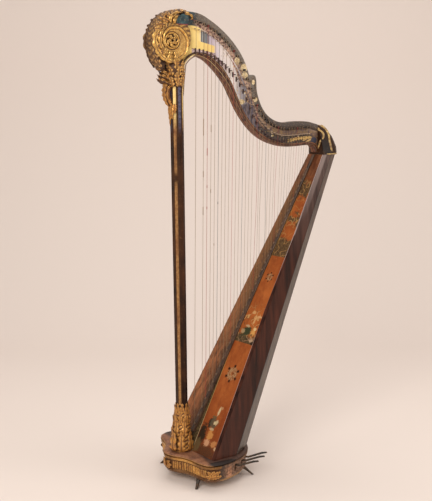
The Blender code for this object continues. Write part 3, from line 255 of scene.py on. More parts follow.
def wood_finish(name, dark, light, along=(1, 1, 0.08), scale=55.0, roughness=0.42, wear=0.25, gloss=0.5):
    """Stained wood with long grain, small pores and rubbed places."""
    wood = Finish(name, roughness, gloss=gloss)
    grain = wood.noise(scale, 5.0, 0.6, wood.placed(along))
    pores = wood.noise(scale * 5, 2.0, 0.5, wood.placed(along))
    rubbed = wood.noise(9.0, 5.0, 0.65)
    colour = wood.mix(grain.between(0.32, 0.70), dark, light)
    colour = wood.mix(rubbed.between(0.55, 0.80) * wear, colour, tuple(min(1, c * 2.6 + 0.03) for c in light))
    return wood.finish(colour, roughness + (rubbed - 0.5) * 0.35, None, grain + pores * 0.4, 0.0005, 0.35)


def dress(names, material, smooth=False):
    """Give a finish to pieces of the frame."""
    for name in names:
        mesh = nodes[name].data
        mesh.materials.clear()
        mesh.materials.append(material)
        mesh.polygons.foreach_set("material_index", [0] * len(mesh.polygons))

MIDDLE_X = 0.26187


def drawn(x, y, z):
    """A place whose X is measured from the column's axis at its foot."""
    return Vector((x - MIDDLE_X, y, z))


def curved(points, steps):
    """A smooth curve through the points."""
    ends = [points[0] * 2 - points[1]] + list(points) + [points[-1] * 2 - points[-2]]
    path = []
    for a, b, c, d in zip(ends, ends[1:], ends[2:], ends[3:]):
        for k in range(steps):
            u = k / steps
            path.append(0.5 * (2 * b + (c - a) * u + (2 * a - 5 * b + 4 * c - d) * u * u
                               + (3 * b - a - 3 * c + d) * u ** 3))
    return path + [points[-1]]


rim = Finish("rim_finish", 0.45, gloss=0.3)
height, ahead = rim.axis("Z"), rim.axis("X") + MIDDLE_X
blots = rim.noise(30.0, 6.0, 0.7)
grime = rim.noise(140.0, 4.0, 0.7)
front = 1 - (ahead + (blots - 0.5) * 0.03).between(0.046, 0.056)
bead = height.between(0.0785, 0.0800).most(1 - height.between(0.0430, 0.0445))
old_gold = rim.mix(grime.between(0.30, 0.70), (0.36, 0.150, 0.036), (0.66, 0.37, 0.105))
bole = rim.mix(grime.between(0.35, 0.65), (0.070, 0.028, 0.012), (0.180, 0.075, 0.028))
side_wood = rim.mix(grime.between(0.35, 0.62), (0.050, 0.028, 0.019), (0.300, 0.160, 0.095))
side_wood = rim.mix((1 - (ahead + (blots - 0.5) * 0.03).between(0.062, 0.074)) * 0.8, side_wood, (0.050, 0.034, 0.027))
# A painted highlight: a pinkish-brown patch of light on each side of the rim, behind the front corner, below the top.
painted_highlight_patch = (blots * 0.8 + grime * 0.6 - (ahead - 0.094).distance() * 22.0).between(0.34, 0.62) * (1 - height.between(0.072, 0.080))
side_wood = rim.mix(painted_highlight_patch, side_wood, rim.mix(grime.between(0.35, 0.6), (0.24, 0.105, 0.055), (0.50, 0.25, 0.14)))
side_wood = rim.mix((1 - height.between(0.036, 0.040)) * blots.between(0.35, 0.5), side_wood, (0.40, 0.22, 0.08))
beside = rim.axis("Y").distance()
# A painted highlight on the front's gilt beads: brightest on the upper bead, in a band each side of the front's middle,
# dimmer at the middle and towards the corners; the lower bead is painted dimmer.
bead_highlight = (0.30 + beside.between(0.030, 0.050) * 0.70) * (1 - beside.between(0.105, 0.135) * 0.75)
rim_front = rim.mix(bead * (blots + 0.30).between(0.42, 0.60) * (0.18 + height.between(0.06, 0.07) * 0.82) * bead_highlight, bole, old_gold)
rim_colour = rim.mix(front, side_wood, rim_front)
rim.finish(rim_colour, 0.62 - front * bead * 0.25, front * bead * 0.35, grime + blots, 0.0006, 0.5)
dress(["base_rim"], rim.material)

# The frieze of the rim: upright reeds between the front shell and the corner leaves, carved in the
# solid and gilt. The shell and the leaves are carved proud of them.
RIM_PLAN = [drawn(x, y, 0) for x, y in ((-0.070, 0.000), (-0.058, 0.037), (-0.034, 0.070), (-0.021, 0.106),
                                       (-0.013, 0.146), (0.002, 0.180), (0.036, 0.195), (0.084, 0.190))]


class Tree:
    """A Geometry Nodes tree whose sizes are named inputs, each set through its socket's identifier."""

    def __init__(self, name, sizes):
        self.tree = bpy.data.node_groups.new(name, "GeometryNodeTree")
        self.tree.interface.new_socket("Geometry", in_out="INPUT", socket_type="NodeSocketGeometry")
        self.tree.interface.new_socket("Geometry", in_out="OUTPUT", socket_type="NodeSocketGeometry")
        self.sizes = {}
        for label, value in sizes.items():
            socket = self.tree.interface.new_socket(label, in_out="INPUT", socket_type="NodeSocketFloat")
            self.sizes[socket.identifier] = value
        self.start = self.tree.nodes.new("NodeGroupInput")
        self.stop = self.tree.nodes.new("NodeGroupOutput")

    def node(self, kind, settings, inputs, output=0):
        made = self.tree.nodes.new(kind)
        for key, setting in settings.items():
            setattr(made, key, setting)
        for key, value in inputs.items():
            if isinstance(value, bpy.types.NodeSocket):
                self.tree.links.new(value, made.inputs[key])
            else:
                made.inputs[key].default_value = value
        return made.outputs[output]

    def size(self, label):
        return self.start.outputs[label]

    def grown(self, name, source, geometry, material):
        """Run the tree on the source mesh and keep the result as a plain piece."""
        dressed = self.node("GeometryNodeSetMaterial", {}, {"Geometry": geometry, "Material": material})
        self.tree.links.new(dressed, self.stop.inputs[0])
        seed = bpy.data.objects.new(name + "_seed", source)
        bpy.context.scene.collection.objects.link(seed)
        modifier = seed.modifiers.new(name, "NODES")
        modifier.node_group = self.tree
        for identifier, value in self.sizes.items():
            modifier[identifier] = value
        graph = bpy.context.evaluated_depsgraph_get()
        mesh = bpy.data.meshes.new_from_object(seed.evaluated_get(graph))
        mesh.name = name
        seed.modifiers.remove(modifier)
        bpy.data.objects.remove(seed)
        piece = bpy.data.objects.new(name, mesh)
        bpy.context.scene.collection.objects.link(piece)
        return piece


def lined(points_list, values, name):
    """A mesh of open lines whose points carry values."""
    mesh = bpy.data.meshes.new(name)
    verts, edges, flat = [], [], []
    for points, row in zip(points_list, values):
        first = len(verts)
        verts += [tuple(point) for point in points]
        edges += [(first + k, first + k + 1) for k in range(len(points) - 1)]
        flat += row
    mesh.from_pydata(verts, edges, [])
    for key in flat[0]:
        layer = mesh.attributes.new(key, "FLOAT", "POINT")
        layer.data.foreach_set("value", [value[key] for value in flat])
    return mesh


def tubes(name, source, sides, material, sizes=None):
    """Geometry nodes draw a round bar along each line, as thick as its points say."""
    plan = Tree(name + "_plan", sizes or {"Thickness": 1.0})
    lines = plan.node("GeometryNodeMeshToCurve", {}, {"Mesh": plan.start.outputs[0]})
    thick = plan.node("GeometryNodeInputNamedAttribute", {"data_type": "FLOAT"}, {"Name": "thick"})
    radius = plan.node("ShaderNodeMath", {"operation": "MULTIPLY"}, {0: thick, 1: plan.size("Thickness")})
    lines = plan.node("GeometryNodeSetCurveRadius", {}, {"Curve": lines, "Radius": radius})
    ring = plan.node("GeometryNodeCurvePrimitiveCircle", {}, {"Resolution": sides, "Radius": 1.0})
    bars = plan.node("GeometryNodeCurveToMesh", {}, {"Curve": lines, "Profile Curve": ring, "Fill Caps": True})
    if "Scale" in [socket.name for socket in plan.tree.nodes[-1].inputs]:
        plan.tree.links.new(radius, plan.tree.nodes[-1].inputs["Scale"])
    smooth = plan.node("GeometryNodeSetShadeSmooth", {}, {"Geometry": bars})
    whole = plan.node("GeometryNodeRealizeInstances", {}, {"Geometry": smooth})
    return plan.grown(name, source, whole, material)


def rim_path(side):
    """Places along the rim's face on one side, from the middle of the front, each with its way out."""
    plan = [Vector((p.x, side * p.y, 0)) for p in curved(RIM_PLAN, 30)]
    places = []
    for a, b in zip(plan, plan[1:]):
        along = (b - a).normalized()
        places.append((a, Vector((along.y, -along.x, 0)) * -side))
    return places


REED_PITCH = 0.0094
reeds, values = [], []
for side in (-1, 1):
    travelled = 0.0
    places = rim_path(side)
    for k, (place, out) in enumerate(places[1:146]):
        travelled += (place - places[k][0]).length
        if travelled < REED_PITCH or k < 27:
            continue
        travelled -= REED_PITCH if travelled < 2 * REED_PITCH else travelled
        line = [place - out * (0.0098 - 0.066 * rise) + Vector((0, 0, 0.0448 + rise))
                for rise in (0.0, 0.0014, 0.0040, 0.0110, 0.0180, 0.0250, 0.0276, 0.0290)]
        reeds.append(line)
        values.append([{"thick": thick} for thick in (0.0012, 0.0029, 0.0036, 0.0037, 0.0037, 0.0036, 0.0029, 0.0012)])
frieze_gilt = gilt_finish("frieze_gilt", (0.58, 0.250, 0.052), (0.30, 0.115, 0.028), highlight=(0.88, 0.54, 0.15), hollow=(0.110, 0.038, 0.012))
frieze_reeds = tubes("frieze_reeds", lined(reeds, values, "reed_lines"), 10, frieze_gilt)
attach(frieze_reeds, "frame")


def skin(shape, rows, reliefs, closed=True, looped=False):
    """Faces between rows of points, with each point's relief level, which the carved gilt finishes use to paint shade
    where it is low, and caps at the ends.
    """
    layer = shape.verts.layers.float.get("relief") or shape.verts.layers.float.new("relief")
    grid = []
    for row, levels in zip(rows, reliefs):
        grid.append([shape.verts.new(point) for point in row])
        for vert, level in zip(grid[-1], levels):
            vert[layer] = level
    count = len(grid[0])
    pairs = list(zip(grid, grid[1:])) + ([(grid[-1], grid[0])] if looped else [])
    for low, high in pairs:
        for k in range(count if closed else count - 1):
            shape.faces.new((low[k], low[(k + 1) % count], high[(k + 1) % count], high[k]))
    if closed and not looped:
        shape.faces.new(list(reversed(grid[0])))
        shape.faces.new(grid[-1])


def carve_leaf(shape, stem, out, width, crown, lobes=4, curl=0.0, base=0.55, columns=5, steps=5):
    """A carved leaf along a stem: veins between its lobes, a groove down its middle, a scalloped edge
    and a tip that curls outwards. The direction out may turn from the stem's start to its end."""
    path = curved(stem, steps)
    outs = out if isinstance(out, tuple) else (out, out)
    rows, reliefs = [], []
    last = len(path) - 1
    for i, place in enumerate(path):
        s = i / last
        along = (path[min(i + 1, last)] - path[max(i - 1, 0)]).normalized()
        up = outs[0].lerp(outs[1], s).normalized()
        aside = along.cross(up).normalized()
        up = aside.cross(along)
        body = min(1, base + 2.2 * s) * max(0.05, 1 - s ** 2.4) ** 0.75
        lobe = abs(math.sin(math.pi * lobes * s)) ** 0.6
        ripple = -math.cos(2 * math.pi * lobes * s)
        half = width * body * (0.70 + 0.30 * lobe)
        front, back, levels = [], [], []
        for k in range(-columns, columns + 1):
            t = k / columns
            groove = math.exp(-(t / 0.16) ** 2)
            rise = crown * body * (1 - 0.75 * t * t - 0.45 * groove + 0.38 * ripple * abs(t) ** 1.2)
            lean = along * (abs(t) ** 1.5 * width * 0.30 * body)
            front.append(place + aside * (t * half) + lean + up * (rise + curl * s ** 3))
            # Relief level for the gilt finish, which paints shade: darker in the middle groove and towards the edges.
            levels.append(0.66 + 0.36 * ripple * abs(t) - 0.60 * groove - 0.45 * t ** 4)
            if abs(k) < columns:
                back.append(place + aside * (t * half * 0.9) + lean * 0.9
                            + up * (curl * s ** 3 - crown * 0.55 * body))
        rows.append(front + list(reversed(back)))
        # The back's level is nil, so the back is painted dark as shade.
        reliefs.append(levels + [0.0] * len(back))
    skin(shape, rows, reliefs)


def finished(name, shape, material, smooth=True):
    """The mesh becomes a piece of the scene, with its faces outwards."""
    bmesh.ops.recalc_face_normals(shape, faces=shape.faces)
    mesh = bpy.data.meshes.new(name)
    shape.to_mesh(mesh)
    shape.free()
    if smooth:
        mesh.shade_smooth()
    mesh.materials.append(material)
    piece = bpy.data.objects.new(name, mesh)
    bpy.context.scene.collection.objects.link(piece)
    return piece


# The carved finishes below paint shade in the carvings' hollows from each piece's relief level, in their hollow colour.
carved_gilt = gilt_finish("carved_gilt", carved=True)
ochre_gilt = gilt_finish("ochre_gilt", (0.46, 0.185, 0.038), (0.20, 0.074, 0.020), carved=True, highlight=(0.70, 0.38, 0.10), hollow=(0.085, 0.030, 0.010))
worn_gilt = gilt_finish("worn_gilt", (0.42, 0.185, 0.045), (0.120, 0.048, 0.018), carved=True, highlight=(0.80, 0.50, 0.18), loss=0.36)


def rim_leaf(shape, side, start, end, low, high, width):
    """A leaf on the rim's recess, from one place along it to another."""
    places = rim_path(side)
    stem = []
    for share in (0.0, 0.35, 0.7, 1.0):
        place, out = places[round(start + (end - start) * share)]
        stem.append(place - out * (0.0088 - 0.0080 * share ** 0.5) + Vector((0, 0, low + (high - low) * share)))
    out = places[round((start + end) / 2)][1]
    carve_leaf(shape, stem, out, width, 0.0042, 4, 0.0015, 0.6, 4, 4)


front_carving = bmesh.new()
for side in (-1, 1):
    for end, low, high, width in ((27, 0.0500, 0.0600, 0.0090), (19, 0.0560, 0.0725, 0.0080), (22, 0.0500, 0.0480, 0.0070)):
        rim_leaf(front_carving, side, 1, end, low, high, width)
places = rim_path(1)
heart, out = places[0]
carve_leaf(front_carving, [heart - out * 0.0088 + Vector((0, 0, z)) + out * add for z, add in ((0.047, 0), (0.055, 0.006), (0.065, 0.008), (0.074, 0.010))],
           out, 0.0095, 0.0045, 4, 0.001, 0.6, 5, 4)
front_carving = finished("front_carving", front_carving, ochre_gilt)
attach(front_carving, "frame")
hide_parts("front_shell")
for hand, side in (("left", -1), ("right", 1)):
    corner_carving = bmesh.new()
    for start, end, low, high, width in ((168, 146, 0.0480, 0.0560, 0.0090), (166, 152, 0.0560, 0.0725, 0.0085),
                                         (163, 190, 0.0480, 0.0540, 0.0095), (164, 187, 0.0560, 0.0700, 0.0090),
                                         (160, 172, 0.0540, 0.0740, 0.0085)):
        rim_leaf(corner_carving, side, start, end, low, high, width)
    corner_carving = finished("corner_carving_" + hand, corner_carving, ochre_gilt)
    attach(corner_carving, "frame")
    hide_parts("corner_leaf_" + hand)

# The deck that covers the base: a board with a rounded edge, painted, and gilt along its front edge.
deck = Finish("deck_paint", 0.5, gloss=0.3)
height, ahead, across = deck.axis("Z"), deck.axis("X") + MIDDLE_X, deck.axis("Y")
blots = deck.noise(26.0, 6.0, 0.7)
grime = deck.noise(150.0, 4.0, 0.7)
top_paint = deck.mix(blots.between(0.38, 0.60), (0.130, 0.052, 0.030), (0.300, 0.130, 0.066))
top_paint = deck.mix(grime.between(0.55, 0.72) * 0.6, top_paint, (0.34, 0.19, 0.11))
edge_gold = deck.mix(grime.between(0.35, 0.7), (0.24, 0.105, 0.036), (0.46, 0.25, 0.095))
front = 1 - (ahead + (blots - 0.5) * 0.03).between(0.012, 0.026)
# Behind the front the deck is painted dark where the soundbox stands: dark brown like the staves within the box's
# width, and near black beside the box's foot as painted shade.
box_tone_and_shade = deck.mix((across.distance() + (blots - 0.5) * 0.012).between(0.171, 0.176), deck.mix(blots.between(0.4, 0.6), (0.034, 0.014, 0.009), (0.090, 0.045, 0.032)),
                     (0.018, 0.010, 0.008))
colour = deck.mix((ahead + across.distance() * 0.12 + (blots - 0.5) * 0.02).between(0.026, 0.040), top_paint, box_tone_and_shade)
colour = deck.mix((1 - height.between(0.0925, 0.0945)) * front, colour, edge_gold)
deck.finish(colour, 0.42 + blots * 0.25, None, grime + blots, 0.0006, 0.4)
dress(["base_deck"], deck.material)

# The feet, pedals and their pin: forged iron, blackened by handling.
iron = Finish("forged_iron", 0.5, 0.85)
rust = iron.noise(70.0, 6.0, 0.7)
iron_colour = iron.mix(rust.between(0.45, 0.7), (0.055, 0.048, 0.043), (0.15, 0.085, 0.05))
iron.finish(iron_colour, 0.38 + rust * 0.35, None, rust, 0.0004, 0.4)
NOTES = "dcbefga"
dress(["foot_front_left", "foot_front_right", "foot_rear_left", "foot_rear_right", "pedal_pivot_pin"]
      + ["pedal_" + n for n in NOTES] + ["pedal_rod_" + n for n in NOTES] + ["hooks_" + n for n in NOTES],
      iron.material)

# Inner woodwork, never stained: bottom board, pivot block, blocks and ribs of the soundbox.
bare_wood = wood_finish("bare_wood", (0.26, 0.15, 0.075), (0.46, 0.31, 0.17), (1, 1, 0.1), 40.0, 0.7, 0.1)
dress(["base_bottom_board", "pedal_pivot_block", "soundbox_foot_block", "soundbox_top_block",
       "soundbox_rib_lower", "soundbox_rib_upper", "inner_string_bar"], bare_wood)

# Springs of hard brass under the pedals.
brass = Finish("dull_brass", 0.36, 0.9)
tarnish = brass.noise(60.0, 5.0, 0.7)
brass.finish(brass.mix(tarnish, (0.30, 0.20, 0.07), (0.62, 0.45, 0.18)), 0.3 + tarnish * 0.3, None, tarnish, 0.0003, 0.3)
dress(["pedal_springs"], brass.material)

# The column: turned and fluted beech, hollow for the pedal rods, under black lacquer that has worn
# brown. Every second flute is gilt, down to the red ground where hands have rubbed it.
COLUMN_LOW, COLUMN_HIGH = 0.0988, 1.4305
FLUTE_LOW, FLUTE_HIGH = 0.262, 1.3790


def column_axis(z):
    return drawn(-0.0125 * (z - 0.0988), 0, z)


def column_reach(z):
    return 0.0205 + 0.0027 * (z - 0.0988) / 1.332


column_shape = bmesh.new()
flute_layer = column_shape.verts.layers.float.new("flute")
gilding_layer = column_shape.verts.layers.float.new("gilding")
skin_rows = []
levels = [COLUMN_LOW, FLUTE_LOW - 0.004] + [FLUTE_LOW + 0.004 * k for k in range(4)]
levels += [FLUTE_LOW + 0.016 + (FLUTE_HIGH - FLUTE_LOW - 0.032) * k / 24 for k in range(25)]
levels += [FLUTE_HIGH - 0.012 + 0.004 * k for k in range(4)] + [COLUMN_HIGH]
AROUND = 112
for z in levels:
    row = []
    ends = max(0, min(1, (z - FLUTE_LOW) / 0.012, (FLUTE_HIGH - z) / 0.012)) ** 0.5
    for k in range(AROUND):
        turn = 2 * math.pi * k / AROUND
        sector = (turn / (math.pi / 4) + 0.5) % 1 - 0.5
        hollow = max(0, 1 - (sector / 0.37) ** 2) ** 0.6 * ends
        reach = column_reach(z) - 0.0028 * hollow
        vert = column_shape.verts.new(column_axis(z) + Vector((math.cos(turn), math.sin(turn), 0)) * reach)
        vert[flute_layer] = hollow
        vert[gilding_layer] = {1: 0.5, 3: 0.5, 5: 1.0, 7: 0.5}.get(round(turn / (math.pi / 4)), 0.0)
        row.append(vert)
    skin_rows.append(row)
for z in (COLUMN_HIGH, COLUMN_LOW):
    skin_rows.append([column_shape.verts.new(column_axis(z) + Vector((math.cos(a), math.sin(a), 0)) * 0.0142)
                      for a in [2 * math.pi * k / AROUND for k in range(AROUND)]])
for low, high in zip(skin_rows, skin_rows[1:] + skin_rows[:1]):
    for k in range(AROUND):
        column_shape.faces.new((low[k], low[(k + 1) % AROUND], high[(k + 1) % AROUND], high[k]))


def lacquered(name, dark=(0.012, 0.005, 0.003), brown=(0.070, 0.025, 0.009), fleck_share=0.7):
    """Black lacquer worn to brown, with pale flecks. Gives back the finish, its colour and its noises."""
    lacquer = Finish(name, 0.38, gloss=0.15)
    specks = lacquer.noise(120.0, 5.0, 0.75)
    cloud = lacquer.noise(10.0, 4.0, 0.6)
    colour = lacquer.mix(cloud.between(0.35, 0.70), dark, brown)
    colour = lacquer.mix(specks.between(0.60, 0.74) * fleck_share, colour, (0.27, 0.14, 0.055))
    return lacquer, colour, specks, cloud


shaft, colour, specks, cloud = lacquered("column_finish")
flute, gilding, height = shaft.attribute("flute"), shaft.attribute("gilding"), shaft.axis("Z")
rubbed = shaft.noise(24.0, 6.0, 0.7, shaft.placed((1, 1, 0.25)))
leaf_left = (rubbed + 0.14).between(0.36, 0.50) * (height - 1.068).distance().between(0.006, 0.030)
gold = shaft.mix(specks.between(0.35, 0.68), (0.200, 0.088, 0.034), (0.50, 0.275, 0.105))
gold = shaft.mix(rubbed.between(0.50, 0.66) * 0.8, gold, (0.150, 0.055, 0.024))
top = height.between(1.235, 1.300)
gold = shaft.mix(top, gold, shaft.mix(specks.between(0.25, 0.55), (0.60, 0.34, 0.095), (0.92, 0.68, 0.28)))
gilt = gilding.between(0.70, 0.90).most(gilding.between(0.30, 0.45) * height.between(1.220, 1.240))
share = flute.between(0.30, 0.55) * gilt * (leaf_left.most(top))
colour = shaft.mix(flute.between(0.30, 0.60) * (1 - gilding.between(0.2, 0.4)) * height.between(1.215, 1.275) * 0.7, colour,
                   shaft.mix(specks.between(0.4, 0.6), (0.050, 0.068, 0.105), (0.190, 0.170, 0.260)))
colour = shaft.mix(share, colour, gold)
shaft.finish(colour, 0.34 + cloud * 0.25, share * 0.35, specks, 0.0004, 0.35)
column_body = finished("column_body", column_shape, shaft.material)
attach(column_body, "frame")
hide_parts("column_shaft")
black, colour, specks, cloud = lacquered("black_lacquer")
black.finish(colour, 0.30 + cloud * 0.25, None, specks, 0.0004, 0.35)
dress(["neck_mechanism_cover", "neck_shoulder"], black.material)

# Carved leafwork at the column's foot: a ribbed core with upright leaves in two rows, and one large
# leaf that rolls over at the front. Limewood, gessoed and gilt.
foot_carving = bmesh.new()
rows, reliefs = [], []
for k in range(49):
    z = 0.0990 + 0.1510 * k / 48
    share = k / 48
    reach = 0.0395 - 0.0150 * share ** 0.8 - 0.0022 * max(0, share - 0.85) / 0.15 + (0.0020 if 0.03 < share < 0.16 else 0)
    board_front = 0.0160 + (z - 0.0985) * math.tan(math.radians(27.5))
    row, levels = [], []
    for j in range(60):
        turn = 2 * math.pi * j / 60
        wave = math.sin(2 * math.pi * (z / 0.0125) + 3.2 * math.sin(turn * 2 + 0.6))
        point = column_axis(z) + Vector((math.cos(turn), math.sin(turn), 0)) * (reach + 0.0016 * wave)
        point.x = min(point.x, board_front - MIDDLE_X)
        row.append(point)
        # The relief level paints shade in the troughs between the core's ribs.
        levels.append(0.42 + 0.42 * wave)
    rows.append(row)
    reliefs.append(levels)
skin(foot_carving, rows, reliefs)
for count, low, reach, size in ((7, 0.1010, 0.0420, 1.0), (7, 0.150, 0.0345, 1.0), (8, 0.196, 0.0285, 0.9)):
    for k in range(count):
        angle = math.pi + 2 * math.pi * (k + (0.5 if low == 0.150 else 0.13)) / count
        way = Vector((math.cos(angle), math.sin(angle), 0))
        if way.x > 0.45 and low < 0.19:
            continue
        stem = [column_axis(low) + way * (reach - 0.005), column_axis(low + 0.022 * size) + way * (reach - 0.0015),
                column_axis(low + 0.050 * size) + way * (reach - 0.006),
                column_axis(low + 0.074 * size) + way * (reach - 0.0045)]
        carve_leaf(foot_carving, stem, way, 0.0135 * size * reach / 0.036, 0.0055, 4, 0.0035, 0.8, 5, 6)
angle = math.radians(202)
way = Vector((math.cos(angle), math.sin(angle), 0))
stem = [column_axis(z) + way * reach for z, reach in ((0.1020, 0.0400), (0.1180, 0.0480), (0.1400, 0.0470), (0.1600, 0.0420), (0.1720, 0.0425))]
carve_leaf(foot_carving, stem, way, 0.0170, 0.0060, 3, 0.004, 0.7, 6, 6)
for k in range(8):
    angle = 2 * math.pi * (k + 0.5) / 8
    way = Vector((math.cos(angle), math.sin(angle), 0))
    stem = [column_axis(z) + way * reach for z, reach in ((0.2380, 0.0225), (0.2520, 0.0222), (0.2640, 0.0212), (0.2720, 0.0210))]
    carve_leaf(foot_carving, stem, way, 0.0075, 0.0030, 2, 0.001, 0.9, 4, 4)
foot_carving = finished("foot_carving", foot_carving, ochre_gilt)
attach(foot_carving, "frame")
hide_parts("column_foot_leaves")

# The capital under the neck: leaves round a bell that swells to the front, with three large leaves
# over the bracket. It is flush with the column towards the strings. Carved and gilt.
capital_carving = bmesh.new()


def forward(turn, back_share=0.25):
    """How far carving at this turn round the column takes part in the swell towards the front."""
    return back_share + (1 - back_share) * (1 - math.cos(turn)) / 2


BELL = ((1.3745, 0.0236, 0.000), (1.3775, 0.0242, 0.001), (1.3860, 0.0240, 0.004), (1.4000, 0.0235, 0.011), (1.4180, 0.0230, 0.016),
        (1.4360, 0.0225, 0.018), (1.4520, 0.0220, 0.016), (1.4680, 0.0200, 0.012))
rows, reliefs = [], []
for z, reach, swell in BELL:
    rows.append([column_axis(z) + Vector((math.cos(a), math.sin(a), 0)) * (reach + swell * forward(a, 0.0))
                 for a in [math.pi / 24 * k for k in range(48)]])
    # The bell's low relief level paints it dark, as shade between the leaves.
    reliefs.append([0.12 + 0.10 * math.sin(7 * a) for a in [math.pi / 24 * k for k in range(48)]])
skin(capital_carving, rows, reliefs)
for count, low, high, reach, tip, half in ((9, 1.3760, 1.4020, 0.0252, 0.020, 0.0105), (8, 1.3900, 1.4200, 0.0250, 0.030, 0.0115),
                                          (9, 1.4080, 1.4400, 0.0250, 0.030, 0.0110), (8, 1.4300, 1.4600, 0.0250, 0.026, 0.0105)):
    for k in range(count):
        angle = math.pi + 2 * math.pi * (k + (0.5 if count == 8 else 0)) / count
        way = Vector((math.cos(angle), math.sin(angle), 0))
        share = forward(angle, 0.02)
        rise = high - low
        stem = [column_axis(low + rise * a) + way * (reach - 0.002 - 0.003 * max(0, way.x) + tip * b * share)
                for a, b in ((0.0, 0.35), (0.45, 0.62), (0.8, 0.82), (1.0, 1.0))]
        carve_leaf(capital_carving, stem, way, half, 0.0026 + 0.0028 * min(1, share * 2), 3, 0.0045 * share, 0.7)
for side, lift, back in ((-1, 0.0, 0.0), (0, 0.003, 0.002), (1, 0.0, 0.0), (-1, 0.013, -0.003), (0, 0.015, -0.002), (1, 0.013, -0.003),
                         (-1, 0.025, -0.007), (0, 0.027, -0.006), (1, 0.025, -0.007)):
    stem = [drawn(x - back, side * y, z + lift) for x, y, z in ((-0.0400, 0.010, 1.3800), (-0.0550, 0.014, 1.3850), (-0.0690, 0.017, 1.3930), (-0.0780, 0.020, 1.4040))]
    carve_leaf(capital_carving, stem, Vector((-0.7, side * 0.3, 0.7)), 0.0120, 0.0055, 3, 0.004, 0.8)
for k in range(5):
    angle = math.radians(155 + 32 * k)
    way = Vector((math.cos(angle), math.sin(angle), 0))
    share = forward(angle, 0.02)
    stem = [column_axis(z) + way * (0.0215 + r + add * share) for z, r, add in ((1.4080, 0.001, 0.020), (1.3960, 0.003, 0.014), (1.3840, 0.003, 0.006), (1.3740, 0.0042, 0.002))]
    carve_leaf(capital_carving, stem, way, 0.0092, 0.0048, 3, 0.003, 0.9, 4, 4)
# Its hollow colour is the painted shade of the capital's hollows.
capital_gilt = gilt_finish("capital_gilt", (0.50, 0.215, 0.046), (0.150, 0.056, 0.018), carved=True, highlight=(0.86, 0.54, 0.17),
                           loss=0.12, hollow=(0.040, 0.016, 0.007))
capital_carving = finished("capital_carving", capital_carving, capital_gilt)
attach(capital_carving, "frame")
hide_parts("capital")

# The bracket in front of the column's top: a broad leaf bent into a C, hollow behind, where a dark sheet across the
# opening stands for the shade, with a spray of leaves hanging below it on the column. Carved and gilt.
console_carving = bmesh.new()
strap = [drawn(x, 0, z) for x, z in ((-0.0380, 1.3920), (-0.0520, 1.3860), (-0.0595, 1.3690), (-0.0610, 1.3500),
                                    (-0.0585, 1.3320), (-0.0500, 1.3150), (-0.0400, 1.3030))]
carve_leaf(console_carving, strap, (Vector((-0.5, 0, 0.85)), Vector((-0.85, 0, -0.5))), 0.0175, 0.0060, 7, 0.0, 1.0, 6, 5)
# The sheet's relief level is nearly nil, so it is painted dark: shade in the opening of the C.
shade_sheet, levels = [], []
for y in (-0.0100, 0.0100):
    shade_sheet.append([drawn(x, y, z) for x, z in ((-0.0350, 1.3920), (-0.0500, 1.3860), (-0.0570, 1.3690), (-0.0585, 1.3500),
                                           (-0.0560, 1.3320), (-0.0480, 1.3170), (-0.0365, 1.3040))]
               + [drawn(x, y, z) for x, z in ((-0.0365, 1.3250), (-0.0400, 1.3300), (-0.0440, 1.3420), (-0.0445, 1.3560),
                                              (-0.0420, 1.3660), (-0.0365, 1.3710))])
    levels.append([0.02] * 13)
skin(console_carving, shade_sheet, levels)
for side in (-1, 1):
    for points, half in ((((-0.0360, 1.3800), (-0.0490, 1.3740), (-0.0555, 1.3560), (-0.0545, 1.3370), (-0.0470, 1.3200), (-0.0380, 1.3100)), 0.0042),
                         (((-0.0380, 1.3130), (-0.0440, 1.3190), (-0.0470, 1.3290), (-0.0430, 1.3350)), 0.0036)):
        carve_leaf(console_carving, [drawn(x, side * 0.0118, z) for x, z in points], Vector((-0.3, side, 0)), half, 0.0038, 3, 0.0, 0.9, 4, 4)
for turn, low, size in ((180, 1.2440, 1.0), (205, 1.2660, 0.9), (155, 1.2660, 0.9), (228, 1.2860, 0.8), (132, 1.2860, 0.8)):
    way = Vector((math.cos(math.radians(turn)), math.sin(math.radians(turn)), 0))
    stem = [column_axis(low + (1.3160 - low) * a) + way * r for a, r in ((1.0, 0.0235), (0.7, 0.0258), (0.35, 0.0248), (0.0, 0.0238))]
    carve_leaf(console_carving, stem, way, 0.0110 * size, 0.0045, 4, 0.002, 0.9, 5, 5)
console_carving = finished("console_carving", console_carving, ochre_gilt)
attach(console_carving, "frame")
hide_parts("leaf_console")

# The scroll head: a flat scroll that ends the neck over the column. Each side has a volute that winds
# out of an eye with a flower, a crescent leaf, and strands of leaves over its top. Carved and gilt.
SCROLL = drawn(-0.031, 0, 1.529)
EYE = drawn(-0.0460, 0, 1.5235)
SCROLL_HALF = 0.0310
SCROLL_REACH = ((0, 58), (42, 65), (68, 80), (92, 90), (128, 84), (155, 80.5), (180, 83), (205, 80.5),
                (232, 75), (262, 70), (300, 62), (335, 58), (360, 58))
VOLUTE_REACH = ((0, 61), (45, 54), (90, 45.5), (135, 39), (180, 34), (215, 31.5), (270, 66.5), (310, 68.5), (360, 61))


def reach_at(shape, turn):
    """An outline's reach in metres at an angle in degrees, smooth between its points."""
    for (a, low), (b, high) in zip(shape, shape[1:]):
        if a <= turn % 360 <= b:
            share = (turn % 360 - a) / (b - a)
            return 0.001 * (low + (high - low) * share * share * (3 - 2 * share))
    return 0.001 * shape[-1][1]


